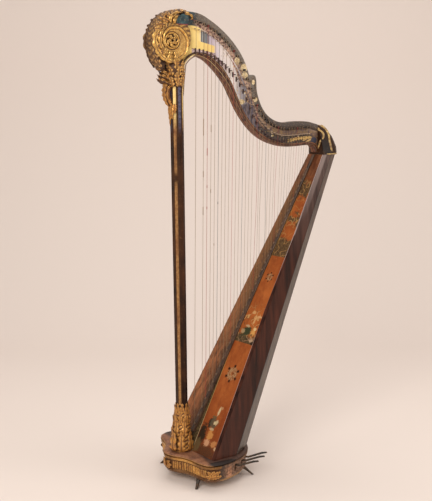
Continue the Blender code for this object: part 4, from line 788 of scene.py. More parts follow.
def volute_relief_and_shade(point):
    """Height of the scroll's side face, and its relief level for the gilt finish, which paints shade: dark in the eye,
    the moat round its ring, the grooves and between the flutes, bright on the ring and the band, and lower over the
    outer part of the front. The face has the eye's ring, a band that winds out of it with a groove on each side, and
    fluting round both."""
    way = point - EYE
    reach, turn = math.hypot(way.x, way.z), math.degrees(math.atan2(way.z, way.x)) % 360
    ring = math.exp(-((reach - 0.0250) / 0.0022) ** 2)
    moat = math.exp(-((reach - 0.0288) / 0.0014) ** 2)
    band = reach_at(VOLUTE_REACH, turn)
    ridge, groove = 0.0, 0.0
    if not 222 < turn < 262:
        ridge = math.exp(-((reach - band + 0.0035) / 0.0042) ** 2)
        groove = math.exp(-((reach - band - 0.0020) / 0.0013) ** 2) + math.exp(-((reach - band + 0.0090) / 0.0012) ** 2) * 0.6
    flutes = 0.5 + 0.5 * math.sin(math.radians(turn) * 26 + reach * 240)
    outer = min(1, max(0, (reach - band - 0.003) / 0.004))
    height = 0.0042 * ring + 0.0060 * ridge - 0.0045 * max(0, 1 - (reach / 0.022) ** 4) - 0.0030 * groove - 0.0024 * moat
    height += 0.0020 * outer * flutes
    gold = 0.52 + 0.5 * ring + 0.55 * ridge - 0.9 * groove - 0.8 * moat - 0.38 * outer * (1 - flutes)
    gold -= 0.30 * min(1, max(0, (math.hypot(point.x - SCROLL.x, point.z - SCROLL.z) - 0.062) / 0.012)) * (90 < turn < 250)
    # Inside the ring the level is nearly nil: painted shade in the eye.
    return height, (0.05 if reach < 0.021 else gold)


def on_side(side, points, lift):
    return [drawn(x, side * (SCROLL_HALF + lift), z) for x, z in points]


scroll_carving, edge_leaves = bmesh.new(), bmesh.new()
for side in (-1, 1):
    rows, reliefs = [], []
    for i in range(44):
        share = max(0.01, i / 43)
        row, levels = [], []
        for k in range(144):
            turn = 2 * math.pi * k / 144
            point = SCROLL + Vector((math.cos(turn), 0, math.sin(turn))) * reach_at(SCROLL_REACH, math.degrees(turn)) * share
            height, gold = volute_relief_and_shade(point)
            edge = max(0, (share - 0.9) / 0.1)
            row.append(point + Vector((0, side * (SCROLL_HALF + height - 0.008 * edge * edge), 0)))
            # The level is lowered where the face rolls in at its edge, so that edge is painted darker.
            levels.append(min(1, max(0, gold - edge * 0.3)))
        rows.append(row)
        reliefs.append(levels)
    rows.append([point * 1 - Vector((0, point.y, 0)) for point in rows[-1]])
    reliefs.append([0.1] * 144)
    skin(scroll_carving, rows, reliefs)
    out = Vector((0, side, 0))
    crescent = on_side(side, [(-0.060, 1.592), (-0.088, 1.572), (-0.106, 1.545), (-0.110, 1.516), (-0.100, 1.488),
                              (-0.081, 1.468), (-0.054, 1.457), (-0.022, 1.461), (-0.001, 1.482)], 0.003)
    carve_leaf(scroll_carving, crescent, out, 0.0125, 0.0060, 9, 0.0, 0.4, 6, 5)
    inner = on_side(side, [(-0.080, 1.560), (-0.090, 1.540), (-0.091, 1.516), (-0.082, 1.496), (-0.064, 1.482), (-0.046, 1.478)], 0.003)
    carve_leaf(scroll_carving, inner, out, 0.0085, 0.0060, 5, 0.0, 0.5, 5, 5)
    for k in range(3):
        turn = math.radians(228 + 26 * k)
        points = [(math.cos(turn) * r - 0.0460 + b * 0.004, math.sin(turn) * r + 1.5235) for r, b in ((0.034, 0), (0.046, 1), (0.060, 0), (0.070, -2))]
        carve_leaf(scroll_carving, on_side(side, points, 0.003), out, 0.0085, 0.0058, 3, 0.002, 0.7, 5, 4)
    for turn, near_reach, far_reach, half in ((168, 62, 88, 10), (150, 62, 86, 10), (133, 60, 88, 10), (117, 62, 90, 9.5), (102, 66, 92, 9),
                                              (196, 64, 84, 9), (216, 62, 80, 9)):
        swing = 0.30 if turn < 140 else 0.16
        stem = []
        for share, lift in ((0.0, 0.000), (0.35, 0.004), (0.7, 0.004), (1.0, 0.001)):
            angle = math.radians(turn) + swing * share
            reach = 0.001 * (near_reach + (far_reach - near_reach) * share)
            stem.append(SCROLL + Vector((math.cos(angle) * reach, side * (SCROLL_HALF + lift), math.sin(angle) * reach)))
        carve_leaf(edge_leaves, stem, out, 0.001 * half, 0.0055, 3, 0.002, 0.7, 5, 4)
    strand = on_side(side, [(-0.052, 1.5800), (-0.055, 1.5960), (-0.046, 1.6090), (-0.030, 1.6150), (-0.012, 1.6150)], 0.004)
    carve_leaf(scroll_carving, strand, out, 0.0058, 0.0060, 2, 0.0, 0.9, 5, 5)
    strand = on_side(side, [(-0.036, 1.5780), (-0.040, 1.5900), (-0.034, 1.6000), (-0.022, 1.6050)], 0.003)
    carve_leaf(scroll_carving, strand, out, 0.0050, 0.0060, 2, 0.0, 0.9, 5, 5)
    for k in range(5):
        turn = 2 * math.pi * k / 5 + 0.4
        stem = [EYE + Vector((math.cos(turn + b), 0, math.sin(turn + b))) * r + out * (SCROLL_HALF - 0.001 + h)
                for b, r, h in ((0, 0.003, 0.004), (0.15, 0.010, 0.001), (0.55, 0.018, 0.003), (1.1, 0.0225, 0.004))]
        carve_leaf(scroll_carving, stem, out, 0.0062, 0.0048, 3, 0.002, 0.6, 4, 4)
scroll_carving = finished("scroll_carving", scroll_carving, carved_gilt)
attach(scroll_carving, "frame")
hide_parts("scroll_head")
# Its hollow colour paints shade in the leaves' hollows.
edge_leaves = finished("edge_leaves", edge_leaves, gilt_finish("edge_gilt", (0.46, 0.185, 0.040), (0.130, 0.048, 0.016), carved=True,
                                                              highlight=(0.84, 0.50, 0.15), loss=0.22, hollow=(0.036, 0.014, 0.006)))
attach(edge_leaves, "frame")

# The crest: overlapping leaves over the scroll's edge, from the neck round the front to the capital, on a core whose
# low relief level paints it dark, as shade in the gaps between the leaves.
CREST_REACH = ((58, 112), (74, 105.5), (93, 99.5), (110, 96.5), (129, 93), (150, 90), (168, 88.5), (180, 88.5),
               (198, 89), (215, 102), (232, 109), (247, 120))
crest_carving = bmesh.new()
rows, reliefs = [], []
for k in range(64):
    turn = 59 + 187 * k / 63
    outer, inner = reach_at(CREST_REACH, turn) - 0.0058, reach_at(SCROLL_REACH, turn) - 0.004
    if turn < 84:
        inner = outer - 0.010
    half = 0.0300 * (1 - 0.25 * max(0, (turn - 200) / 47))
    section = [(inner, -half * 0.95), (outer - 0.004, -half), (outer, -half * 0.55), (outer + 0.001, 0), (outer, half * 0.55),
               (outer - 0.004, half), (inner, half * 0.95), (inner, 0)]
    way = Vector((math.cos(math.radians(turn)), 0, math.sin(math.radians(turn))))
    rows.append([SCROLL + way * reach + Vector((0, y, 0)) for reach, y in section])
    # Low relief level: the core is painted dark, as shade between the leaves.
    reliefs.append([0.1] * 8)
skin(crest_carving, rows, reliefs)
for row in range(16):
    turn = 68 + 10.8 * row
    for side in (-1.5, -0.5, 0.5, 1.5):
        stem = []
        for add, share, inward in ((-6, 0.0, 0.010), (0, 0.4, 0.0035), (6, 0.8, 0.0012), (11, 1.0, 0.0030)):
            place = min(246, turn + add + (5 if abs(side) < 1 else 0))
            reach = reach_at(CREST_REACH, place) - 0.0060 - inward - (0.0015 if abs(side) > 1 else 0)
            angle = math.radians(place)
            stem.append(SCROLL + Vector((math.cos(angle) * reach, side * (0.0165 + 0.001 * share), math.sin(angle) * reach)))
        angle = math.radians(turn)
        out = Vector((math.cos(angle), side * 0.45, math.sin(angle))).normalized()
        carve_leaf(crest_carving, stem, out, 0.0112, 0.0055, 2, 0.0018, 0.7, 4, 4)
crest_carving = finished("crest_carving", crest_carving, worn_gilt)
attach(crest_carving, "frame")
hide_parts("head_crest")

# A painted panel on each side of the scroll, where the neck's border runs up to the crest, and the
# gilt strand above it.
PANEL_EDGE = ((-0.0300, 1.5775), (-0.0100, 1.5765), (0.0120, 1.5760), (0.0180, 1.5900), (0.0140, 1.6080), (-0.0050, 1.6125),
              (-0.0200, 1.6060), (-0.0300, 1.5920))
panel_shape = bmesh.new()
for side in (-1, 1):
    rows = []
    for lift, inset in ((-0.012, 0.0), (0.0015, 0.0), (0.0030, 0.0012), (0.0038, 0.0050)):
        row = []
        for x, z in PANEL_EDGE:
            way = Vector((-0.0065 - x, 0, 1.594 - z))
            row.append(drawn(x, side * (SCROLL_HALF + lift), z) + way.normalized() * inset)
        rows.append(row)
    skin(panel_shape, rows, [[0.5] * 8] * 4)
teal = Finish("teal_panel", 0.35, gloss=0.4)
teal_blots = teal.noise(150.0, 4.0, 0.7)
teal_cloud = teal.noise(50.0, 3.0, 0.6)
teal_colour = teal.mix(teal_cloud.between(0.40, 0.62), (0.012, 0.030, 0.036), (0.042, 0.100, 0.110))
teal_colour = teal.mix(teal_blots.between(0.56, 0.70) * 0.7, teal_colour, (0.34, 0.24, 0.13))
teal_colour = teal.mix(1 - teal.axis("Z").between(1.5785, 1.5795), teal_colour, (0.26, 0.050, 0.070))
teal.finish(teal_colour, 0.3 + teal_blots * 0.3, None, teal_blots, 0.0004, 0.3)
side_panels = finished("side_panels", panel_shape, teal.material)
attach(side_panels, "frame")
strands = bmesh.new()
for side in (-1, 1):
    points = [(0.000, 0.033, 1.6120), (0.014, 0.030, 1.6130), (0.028, 0.024, 1.6080), (0.036, 0.018, 1.6010), (0.030, 0.0165, 1.5960)]
    carve_leaf(strands, [drawn(x, side * y + (0.006 if side > 0 else 0), z) for x, y, z in points], Vector((0.1, side, 0.15)), 0.0052, 0.0058, 3, 0.0, 0.9, 5, 5)
side_strands = finished("side_strands", strands, carved_gilt)
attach(side_strands, "frame")

# The neck: a bent beam of maple between the scroll and the shoulder. Its left face is gessoed and
# painted with flower sprays inside a plain border, and its lower edge has three gilt mouldings.
NECK_TOP = ((-0.006, 1.6170), (0.028, 1.6240), (0.072, 1.6180), (0.108, 1.6010), (0.146, 1.5770),
            (0.181, 1.5490), (0.209, 1.5205), (0.232, 1.4910), (0.251, 1.4570), (0.264, 1.4240))
NECK_STEP = ((0.2670, 1.4185), (0.288, 1.4180), (0.2945, 1.4030), (0.2965, 1.3700), (0.306, 1.3350), (0.322, 1.3030),
             (0.345, 1.2770), (0.377, 1.2590), (0.412, 1.2520), (0.445, 1.2545), (0.480, 1.2560),
             (0.520, 1.2545), (0.5608, 1.2450))
NECK_UNDER = ((0.0060, 1.4310), (0.0068, 1.4400), (0.0120, 1.4530), (0.023, 1.4655), (0.038, 1.4750),
              (0.056, 1.4790), (0.078, 1.4735), (0.100, 1.4630), (0.127, 1.4410), (0.153, 1.4150), (0.180, 1.3805),
              (0.203, 1.3380), (0.227, 1.2940), (0.255, 1.2550), (0.290, 1.2185), (0.330, 1.1910), (0.375, 1.1740),
              (0.420, 1.1655), (0.470, 1.1665), (0.495, 1.1685), (0.520, 1.1697), (0.537, 1.1680), (0.5465, 1.1620),
              (0.5510, 1.1530), (0.5535, 1.1440), (0.5608, 1.1400))
FACE_Y = -0.010
BACK_Y = 0.032


def evenly(path, count):
    """The same path in equal steps."""
    lengths = [0.0]
    for a, b in zip(path, path[1:]):
        lengths.append(lengths[-1] + (b - a).length)
    places, k = [], 0
    for i in range(count + 1):
        goal = lengths[-1] * i / count
        while k < len(path) - 2 and lengths[k + 1] < goal:
            k += 1
        share = (goal - lengths[k]) / max(1e-9, lengths[k + 1] - lengths[k])
        places.append(path[k].lerp(path[k + 1], min(1, share)))
    return places


NECK_STATIONS = 220
top_edge = evenly(curved([drawn(x, 0, z) for x, z in NECK_TOP], 6) + curved([drawn(x, 0, z) for x, z in NECK_STEP], 6),
                  NECK_STATIONS)
low_edge = evenly(curved([drawn(x, 0, z) for x, z in NECK_UNDER], 6), NECK_STATIONS)


def neck_section(width, size):
    """Half round the neck: place from the top edge, and depth from the left face."""
    face = [(-0.0004, 0.0090), (0.0004, 0.0040), (0.0022, 0.0012), (0.0050, 0.0), (0.0150, 0.0), (0.0255, 0.0),
            (0.0264, 0.0009), (0.0280, 0.0009), (0.0289, 0.0)]
    inner = max(0.030, width - 0.024 * size)
    face += [(0.0289 + (inner - 0.0289) * k / 8, 0.0) for k in range(1, 9)]
    beads = [(0.0235, 0.0), (0.0228, -0.0010), (0.0215, -0.0013), (0.0203, -0.0008), (0.0198, 0.0006),
             (0.0185, -0.0008), (0.0160, -0.0022), (0.0130, -0.0018), (0.0112, 0.0004), (0.0100, -0.0004),
             (0.0080, -0.0010), (0.0050, -0.0008), (0.0030, 0.0004), (0.0018, 0.0022), (0.0004, 0.0060)]
    return face + [(width - back * size, depth * size) for back, depth in beads]


def distances(path):
    """Measures how far a place lies from a path, seen from the side, and gives the nearest place's X."""
    dense = evenly(path, 1800)
    lookup = kdtree.KDTree(len(dense))
    for k, place in enumerate(dense):
        lookup.insert(place, k)
    lookup.balance()
    return lambda place: lookup.find(Vector((place.x, 0, place.z)))


from_top, from_low = distances(top_edge), distances(low_edge)


def moulding_size(x):
    """The mouldings are narrower near the column, and again behind the neck's first bend."""
    shape = ((-1, 0.34), (0.0468, 0.34), (0.100, 0.78), (0.140, 0.92), (0.190, 0.68), (0.240, 0.54), (2, 0.54))
    for (a, low), (b, high) in zip(shape, shape[1:]):
        if a <= x + MIDDLE_X <= b:
            return low + (high - low) * (x + MIDDLE_X - a) / (b - a)


neck_shape = bmesh.new()
layers = [neck_shape.verts.layers.float.new(name) for name in ("far", "near", "under")]
rings = []
for high, low in zip(top_edge, low_edge):
    way = (low - high)
    width = way.length
    way /= width
    size = moulding_size(low.x)
    section = []
    for a, d in neck_section(width, size):
        nearest, _, reach = from_low(high + way * a)
        section.append((a, FACE_Y + d, from_top(high + way * a)[2], reach / moulding_size(nearest.x), 0))
    section += [(width + 0.0002, -0.001, 1, 0, 0.0), (width + 0.0002, 0.011, 1, 0, 0.5),
                (width + 0.0001, 0.022, 1, 0, 0.9), (width - 0.0015, BACK_Y - 0.003, 1, 1, 1), (width - 0.005, BACK_Y, 1, 1, 1)]
    section += [(width * share, BACK_Y, 1, 1, 1) for share in (0.8, 0.6, 0.4, 0.2)]
    section += [(0.005, BACK_Y, 1, 1, 1), (0.0010, BACK_Y - 0.003, 1, 1, 1), (-0.0010, 0.015, 1, 1, 1)]
    ring = []
    for a, y, *values in section:
        vert = neck_shape.verts.new(high + way * a + Vector((0, y, 0)))
        for layer, value in zip(layers, values):
            vert[layer] = value
        ring.append(vert)
    rings.append(ring)
for first, second in zip(rings, rings[1:]):
    for k in range(len(first)):
        neck_shape.faces.new((first[k], first[(k + 1) % len(first)], second[(k + 1) % len(first)], second[k]))
neck_shape.faces.new(rings[0])
neck_shape.faces.new(list(reversed(rings[-1])))

paint = Finish("neck_paint", 0.3, gloss=0.35)
far, near, under = paint.attribute("far"), paint.attribute("near"), paint.attribute("under")
along = paint.axis("X") + MIDDLE_X
rise = paint.axis("Z")
drift = paint.noise(14.0, 4.0, 0.6)
fleck = paint.noise(260.0, 3.0, 0.7)
mottle = paint.noise(90.0, 4.0, 0.65)
grounds = paint.ramp(((along + (drift - 0.5) * 0.05) * 2.0).between(0.0, 1.0),
                     ((0.0, (0.90, 0.60, 0.16)), (0.130, (0.96, 0.72, 0.27)), (0.185, (0.66, 0.56, 0.60)),
                      (0.24, (0.56, 0.47, 0.56)), (0.30, (0.80, 0.70, 0.68)), (0.40, (0.78, 0.70, 0.66)),
                      (0.46, (0.33, 0.29, 0.31)), (0.56, (0.100, 0.085, 0.100)), (0.66, (0.050, 0.036, 0.034)),
                      (1.0, (0.045, 0.028, 0.021))))
panel_blue = along.between(0.0722, 0.0740) * (1 - along.between(0.100, 0.110)) * far.between(0.046, 0.049)
stripes = paint.mix(((along * 900.0).wave()).between(0.1, 0.5), (0.070, 0.085, 0.110), (0.42, 0.42, 0.40))
stripe_foot = rise + (along - 0.0754) * 0.226 - 1.5248
gold_foot = rise + (along - 0.0456) * 0.155 - 1.5019
gold_below = (along.between(0.060, 0.064) * (1 - (along + (drift - 0.5) * 0.02).between(0.123, 0.130)) * gold_foot.between(-0.0005, 0.0005)
              * (1 - stripe_foot.between(-0.0005, 0.0005)))
cells = paint.node("ShaderNodeTexVoronoi", {}, {"Vector": paint.coords, "Scale": 95.0})
tints = paint.node("ShaderNodeTexVoronoi", {}, {"Vector": paint.coords, "Scale": 95.0}, 1)
tint = paint.axis("X", tints)
blossom = (1 - cells.between(0.18, 0.38)) * paint.noise(22.0, 2.0).between(0.42, 0.52) * (1 - along.between(0.50, 0.51))
blossom_colour = paint.ramp(tint, ((0.0, (0.78, 0.60, 0.34)), (0.35, (0.86, 0.74, 0.50)), (0.55, (0.50, 0.20, 0.12)),
                                   (0.75, (0.56, 0.38, 0.13)), (1.0, (0.08, 0.05, 0.05))))
leaves = paint.node("ShaderNodeTexVoronoi", {}, {"Vector": paint.placed((1, 1, 0.4), (0, 0.6, 0)), "Scale": 170.0})
foliage = (1 - leaves.between(0.20, 0.38)) * paint.noise(30.0, 2.0).between(0.46, 0.55)
panel = paint.mix(panel_blue, grounds, stripes)
panel = paint.mix(gold_below, panel, (0.92, 0.66, 0.22))
panel = paint.mix(foliage * along.between(0.140, 0.190), panel, (0.20, 0.13, 0.08))
dusk = along.between(0.214, 0.222) * (1 - (rise + (drift - 0.5) * 0.02).between(1.312, 1.320)) * (1 - along.between(0.275, 0.315))
night = paint.mix(leaves.between(0.3, 0.8), (0.150, 0.118, 0.140), (0.055, 0.041, 0.050))
panel = paint.mix(dusk, panel, night)
panel = paint.mix(blossom * along.between(0.150, 0.200) * (1 - dusk * 0.7), panel, blossom_colour)
lower_band = paint.mix(mottle.between(0.42, 0.58), (0.150, 0.065, 0.060), (0.62, 0.46, 0.44))


def dab(tone, x0, z0, half_x, half_z, colour, ragged=0.5):
    """A dab of paint on the neck's face, over the tone that is there."""
    aside, up = (along - x0) / half_x, (rise - z0) / half_z
    reach = paint.node("ShaderNodeMath", {"operation": "SQRT"}, {0: aside * aside + up * up})
    return paint.mix((reach + (mottle - 0.5) * ragged).between(0.85, 1.05), colour, tone)


tufts = (1 - (gold_foot + (mottle - 0.5) * 0.004).between(-0.001, 0.001)) * (1 - along.between(0.122, 0.132))
tufts = tufts.most(along.between(0.118, 0.128) * (1 - (near + (mottle - 0.5) * 0.012).between(0.036, 0.041)))
panel = paint.mix(tufts * along.between(0.036, 0.040) * (1 - along.between(0.150, 0.190)), panel, lower_band)
border_tone = paint.mix(along.between(0.045, 0.075), (0.022, 0.045, 0.055), (0.150, 0.122, 0.098))
border_tone = paint.mix(along.between(0.27, 0.33), border_tone, (0.050, 0.034, 0.028))
border_tone = paint.mix(mottle.between(0.48, 0.60) * 0.6, border_tone, (0.050, 0.026, 0.018))
border_tone = paint.mix(fleck.between(0.52, 0.70) * mottle.between(0.35, 0.55) * 0.75, border_tone, (0.42, 0.28, 0.16))
belt_light = paint.mix(along.between(0.24, 0.36), (0.56, 0.36, 0.26), (0.24, 0.145, 0.065))
belt_dark = paint.mix(along.between(0.10, 0.20), (0.110, 0.045, 0.036), (0.100, 0.055, 0.055))
belt = paint.mix(mottle.between(0.44, 0.58), belt_dark, belt_light)
belt = paint.mix(1 - along.between(0.046, 0.058), belt, border_tone)
colour = paint.mix(far.between(0.0255, 0.0262), border_tone, belt)
colour = paint.mix((far + (drift - 0.5) * 0.010).between(0.0440, 0.0470), colour, panel)
colour = paint.mix((1 - (far - 0.0462).distance().between(0.0006, 0.0016)) * along.between(0.10, 0.15) * (1 - along.between(0.30, 0.36)) * 0.85,
                   colour, (0.26, 0.105, 0.045))
colour = dab(colour, 0.2600, 1.2880, 0.030, 0.034, night, 0.4)
cream = paint.mix(fleck.between(0.40, 0.60), (0.50, 0.34, 0.16), (0.84, 0.68, 0.42))
for x0, z0, half_x, half_z in ((0.2150, 1.4650, 0.011, 0.013), (0.2427, 1.4420, 0.014, 0.014), (0.2461, 1.4170, 0.013, 0.011),
                               (0.2320, 1.3252, 0.015, 0.009), (0.2896, 1.3334, 0.009, 0.009), (0.2813, 1.3930, 0.006, 0.009)):
    colour = dab(colour, x0, z0, half_x, half_z, cream)
sheaf = 1 - ((along * 0.45 - rise * 0.89) * 560.0).wave().between(-0.2, 0.4)
colour = dab(colour, 0.5150, 1.1925, 0.026, 0.011, paint.mix(sheaf, (0.085, 0.038, 0.020), (0.64, 0.42, 0.17)), 1.0)
colour = dab(colour, 0.5440, 1.1860, 0.0170, 0.0160, (0.150, 0.085, 0.055), 0.6)
colour = dab(colour, 0.5425, 1.1868, 0.0130, 0.0120, (0.036, 0.038, 0.064), 0.7)
colour = paint.mix((far - 0.0270).distance().between(0.0, 0.0015), paint.mix(along.between(0.05, 0.07), (0.20, 0.05, 0.06), (0.32, 0.19, 0.11)), colour)
streak = paint.noise(60.0, 4.0, 0.6, paint.placed((1, 1, 1)))
reds = paint.mix(streak.between(0.36, 0.64), (0.090, 0.028, 0.016), (0.300, 0.105, 0.048))
reds = paint.mix(along.between(0.02, 0.10), (0.13, 0.060, 0.050), reds)
moulding = paint.mix(near.between(0.0105, 0.0112), paint.mix(streak.between(0.4, 0.6), (0.060, 0.022, 0.015), (0.170, 0.068, 0.038)), reds)
for line, half in ((0.0078, 0.0010), (0.0140, 0.0012), (0.0222, 0.0014)):
    moulding = paint.mix((near - line).distance().between(half, half + 0.0008), (0.020, 0.009, 0.007), moulding)
gilt_lines = 1 - along.between(0.090, 0.200) * 0.72
moulding = paint.mix((1 - (near - 0.0200).distance().between(0.0007, 0.0016)) * gilt_lines, moulding, (0.50, 0.31, 0.12))
moulding = paint.mix((1 - (near - 0.0040).distance().between(0.0004, 0.0014)) * gilt_lines, moulding, (0.66, 0.45, 0.19))
colour = paint.mix(near.between(0.0236, 0.0240), moulding, colour)
underside = paint.mix((under - 0.35).distance().between(0.05, 0.12), (0.026, 0.012, 0.009), reds)
underside = paint.mix((under - 0.72).distance().between(0.04, 0.09), (0.24, 0.115, 0.050), underside)
dark_back = paint.mix(drift.between(0.4, 0.7), (0.018, 0.012, 0.010), (0.060, 0.030, 0.018))
dark_back = paint.mix(mottle.between(0.46, 0.60) * 0.7, dark_back, (0.125, 0.074, 0.046))
dark_back = paint.mix(fleck.between(0.58, 0.70) * mottle.between(0.40, 0.55), dark_back, (0.32, 0.20, 0.115))
colour = paint.mix(far.between(0.5, 0.9), colour, paint.mix(under.between(0.86, 0.94), underside, dark_back))
paint.finish(colour, 0.32 + fleck * 0.25 + far.between(0.5, 0.9) * 0.15, None, fleck + drift + mottle * far.between(0.5, 0.9) * 2.0, 0.0004, 0.35)
neck_body = finished("neck_body", neck_shape, paint.material)
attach(neck_body, "frame")
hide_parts("neck")
DARK_STRIP = ((-0.0059, -0.0190, 1.3433), (-0.0059, -0.0200, 1.3644), (-0.0069, -0.0230, 1.3802), (-0.0051, -0.0235, 1.4013),
              (-0.0037, -0.0225, 1.4171), (-0.0017, -0.0200, 1.4382), (0.0031, -0.0160, 1.4521), (0.0124, -0.0140, 1.4672),
              (0.0235, -0.0135, 1.4775), (0.0408, -0.0130, 1.4864), (0.0508, -0.0125, 1.4872))
PALE_STRIP = ((-0.0022, -0.0180, 1.3433), (-0.0018, -0.0190, 1.3645), (-0.0022, -0.0215, 1.3803), (0.0000, -0.0215, 1.4014),
              (0.0016, -0.0205, 1.4225), (0.0057, -0.0175, 1.4469), (0.0124, -0.0150, 1.4577), (0.0202, -0.0140, 1.4658),
              (0.0308, -0.0135, 1.4735), (0.0420, -0.0130, 1.4796), (0.0507, -0.0125, 1.4820))
INNER_STRIP = ((0.0037, -0.0150, 1.3434), (0.0041, -0.0155, 1.3646), (0.0043, -0.0170, 1.3805), (0.0060, -0.0175, 1.4016),
               (0.0088, -0.0170, 1.4228), (0.0130, -0.0150, 1.4472), (0.0177, -0.0140, 1.4536), (0.0259, -0.0135, 1.4623),
               (0.0359, -0.0130, 1.4699), (0.0456, -0.0130, 1.4749), (0.0556, -0.0125, 1.4768))
runs, values = [], []
for shape, thick, tone in ((DARK_STRIP, 0.0017, 0.0), (PALE_STRIP, 0.0023, 1.0), (INNER_STRIP, 0.0017, 0.5)):
    path = curved([drawn(*place) for place in shape], 5)
    runs.append(path)
    values.append([{"thick": thick * min(1, 0.2 + 0.2 * min(k, len(path) - 1 - k)), "tone": tone} for k in range(len(path))])
strip_finish = Finish("arch_strips", 0.4)
strip_grime = strip_finish.noise(180.0, 4.0, 0.7)
strip_gold = strip_finish.mix(strip_grime.between(0.35, 0.65), (0.46, 0.26, 0.085), (0.90, 0.70, 0.34))
strip_tone = strip_finish.mix(strip_finish.attribute("tone").between(0.1, 0.4), (0.060, 0.026, 0.014), (0.210, 0.120, 0.060))
strip_finish.finish(strip_finish.mix(strip_finish.attribute("tone").between(0.6, 0.9), strip_tone, strip_gold),
                    0.35 + strip_grime * 0.3, None, strip_grime, 0.0003, 0.3)
arch_strips = tubes("arch_strips", lined(runs, values, "arch_lines"), 8, strip_finish.material)
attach(arch_strips, "frame")

# The tuning pins: blued steel, one for each of thirty-seven strings, from the low G beside the column
# to the treble. A round end takes the string on the left, and the key fits the square end on the right.
STRING_COUNT = 37
PIN_ROW = ((0.050, 1.5900), (0.085, 1.5820), (0.120, 1.5640), (0.150, 1.5430), (0.180, 1.5150),
           (0.210, 1.4800), (0.235, 1.4380), (0.256, 1.3900), (0.280, 1.3320), (0.310, 1.2840),
           (0.345, 1.2510), (0.385, 1.2330), (0.430, 1.2290), (0.480, 1.2330), (0.517, 1.2350))
pin_curve = curved([drawn(x, 0, z) for x, z in PIN_ROW], 4)


def string_x(i):
    return 0.049 + i * 0.0152 - (0.0152 - 0.0108) / 35 * i * (i - 1) / 2 - MIDDLE_X


def pin_height(i):
    x = string_x(i)
    for a, b in zip(pin_curve, pin_curve[1:]):
        if a.x <= x <= b.x:
            return a.z + (b.z - a.z) * (x - a.x) / (b.x - a.x)
    return pin_curve[0].z if x < pin_curve[0].x else pin_curve[-1].z


def dots(places):
    mesh = bpy.data.meshes.new("places")
    mesh.from_pydata([tuple(place) for place in places], [], [])
    return mesh


pins = Tree("pin_plan", {"Radius": 0.0031, "Left end": 0.011, "Through": 0.042, "Square end": 0.018})
half_turn = (math.pi / 2, 0, 0)
length = pins.node("ShaderNodeMath", {"operation": "ADD"}, {0: pins.size("Left end"), 1: pins.size("Through")})
stem = pins.node("GeometryNodeMeshCylinder", {}, {"Vertices": 12, "Radius": pins.size("Radius"), "Depth": length})
pin_finish = Finish("blued_steel", 0.35, 0.6)
pin_spots = pin_finish.noise(300.0, 4.0, 0.7)
pin_finish.finish(pin_finish.mix(pin_spots.between(0.35, 0.8), (0.010, 0.007, 0.008), (0.075, 0.045, 0.034)), 0.3 + pin_spots * 0.3, None, pin_spots, 0.0002, 0.3)
stem = pins.node("GeometryNodeTransform", {}, {"Geometry": stem, "Translation": (0, 0.0155, 0), "Rotation": half_turn})
square = pins.node("GeometryNodeMeshCone", {}, {"Vertices": 4, "Radius Top": 0.0024, "Radius Bottom": 0.0030, "Depth": pins.size("Square end")})
square = pins.node("GeometryNodeTransform", {}, {"Geometry": square, "Translation": (0, 0.0455, 0), "Rotation": (-math.pi / 2, 0, 0)})
both = pins.tree.nodes.new("GeometryNodeJoinGeometry")
pins.tree.links.new(stem, both.inputs[0])
pins.tree.links.new(square, both.inputs[0])
spread = pins.node("GeometryNodeInstanceOnPoints", {}, {"Points": pins.start.outputs[0], "Instance": both.outputs[0]})
pins_out = pins.node("GeometryNodeRealizeInstances", {}, {"Geometry": spread})
tuning_pins = pins.grown("tuning_pins", dots([Vector((string_x(i) + 0.0040, -0.0105, pin_height(i))) for i in range(STRING_COUNT)]),
                         pins_out, pin_finish.material)
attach(tuning_pins, "frame")

# The nuts: a thin strip of wood painted with the neck, and a stud of bone for each string to lean on.
nut_shape = bmesh.new()
strip_layers = [nut_shape.verts.layers.float.new(name) for name in ("far", "near", "under")]
nut_line = []
for i in range(0, STRING_COUNT, 3):
    nut_line.append(Vector((string_x(i) - 0.0035, 0, pin_height(i) - 0.023)))
nut_line = [nut_line[0] * 2 - nut_line[0].lerp(nut_line[1], 0.18)] + nut_line + [nut_line[-1] * 2 - nut_line[-1].lerp(nut_line[-2], 0.25)]
rows = []
for k, place in enumerate(nut_line):
    along_nuts = (nut_line[min(k + 1, len(nut_line) - 1)] - nut_line[max(k - 1, 0)]).normalized()
    aside_nuts = Vector((-along_nuts.z, 0, along_nuts.x))
    row = []
    for a, y in ((-0.0022, FACE_Y - 0.0002), (-0.0018, FACE_Y - 0.0010), (0.0, FACE_Y - 0.0014), (0.0018, FACE_Y - 0.0010), (0.0022, FACE_Y - 0.0002)):
        vert = nut_shape.verts.new(place + aside_nuts * a + Vector((0, y, 0)))
        vert[strip_layers[0]], vert[strip_layers[1]] = 0.060, 0.060
        row.append(vert)
    rows.append(row)
for low, high in zip(rows, rows[1:]):
    for k in range(5):
        nut_shape.faces.new((low[k], low[(k + 1) % 5], high[(k + 1) % 5], high[k]))
nut_shape.faces.new(list(reversed(rows[0])))
nut_shape.faces.new(rows[-1])
nut_strip = finished("nut_strip", nut_shape, paint.material, False)
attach(nut_strip, "frame")
bone = Finish("nut_bone", 0.35)
bone_spots = bone.noise(300.0, 4.0, 0.6)
bone.finish(bone.mix(bone_spots, (0.22, 0.13, 0.085), (0.62, 0.47, 0.34)), 0.3 + bone_spots * 0.2, None, bone_spots, 0.0002, 0.3)
studs = Tree("nut_plan", {"Radius": 0.0018, "Reach": 0.0135})
stud = studs.node("GeometryNodeMeshCylinder", {}, {"Vertices": 10, "Radius": studs.size("Radius"), "Depth": studs.size("Reach")})
stud = studs.node("GeometryNodeTransform", {}, {"Geometry": stud, "Rotation": half_turn})
spread = studs.node("GeometryNodeInstanceOnPoints", {}, {"Points": studs.start.outputs[0], "Instance": stud})
studs_out = studs.node("GeometryNodeRealizeInstances", {}, {"Geometry": spread})
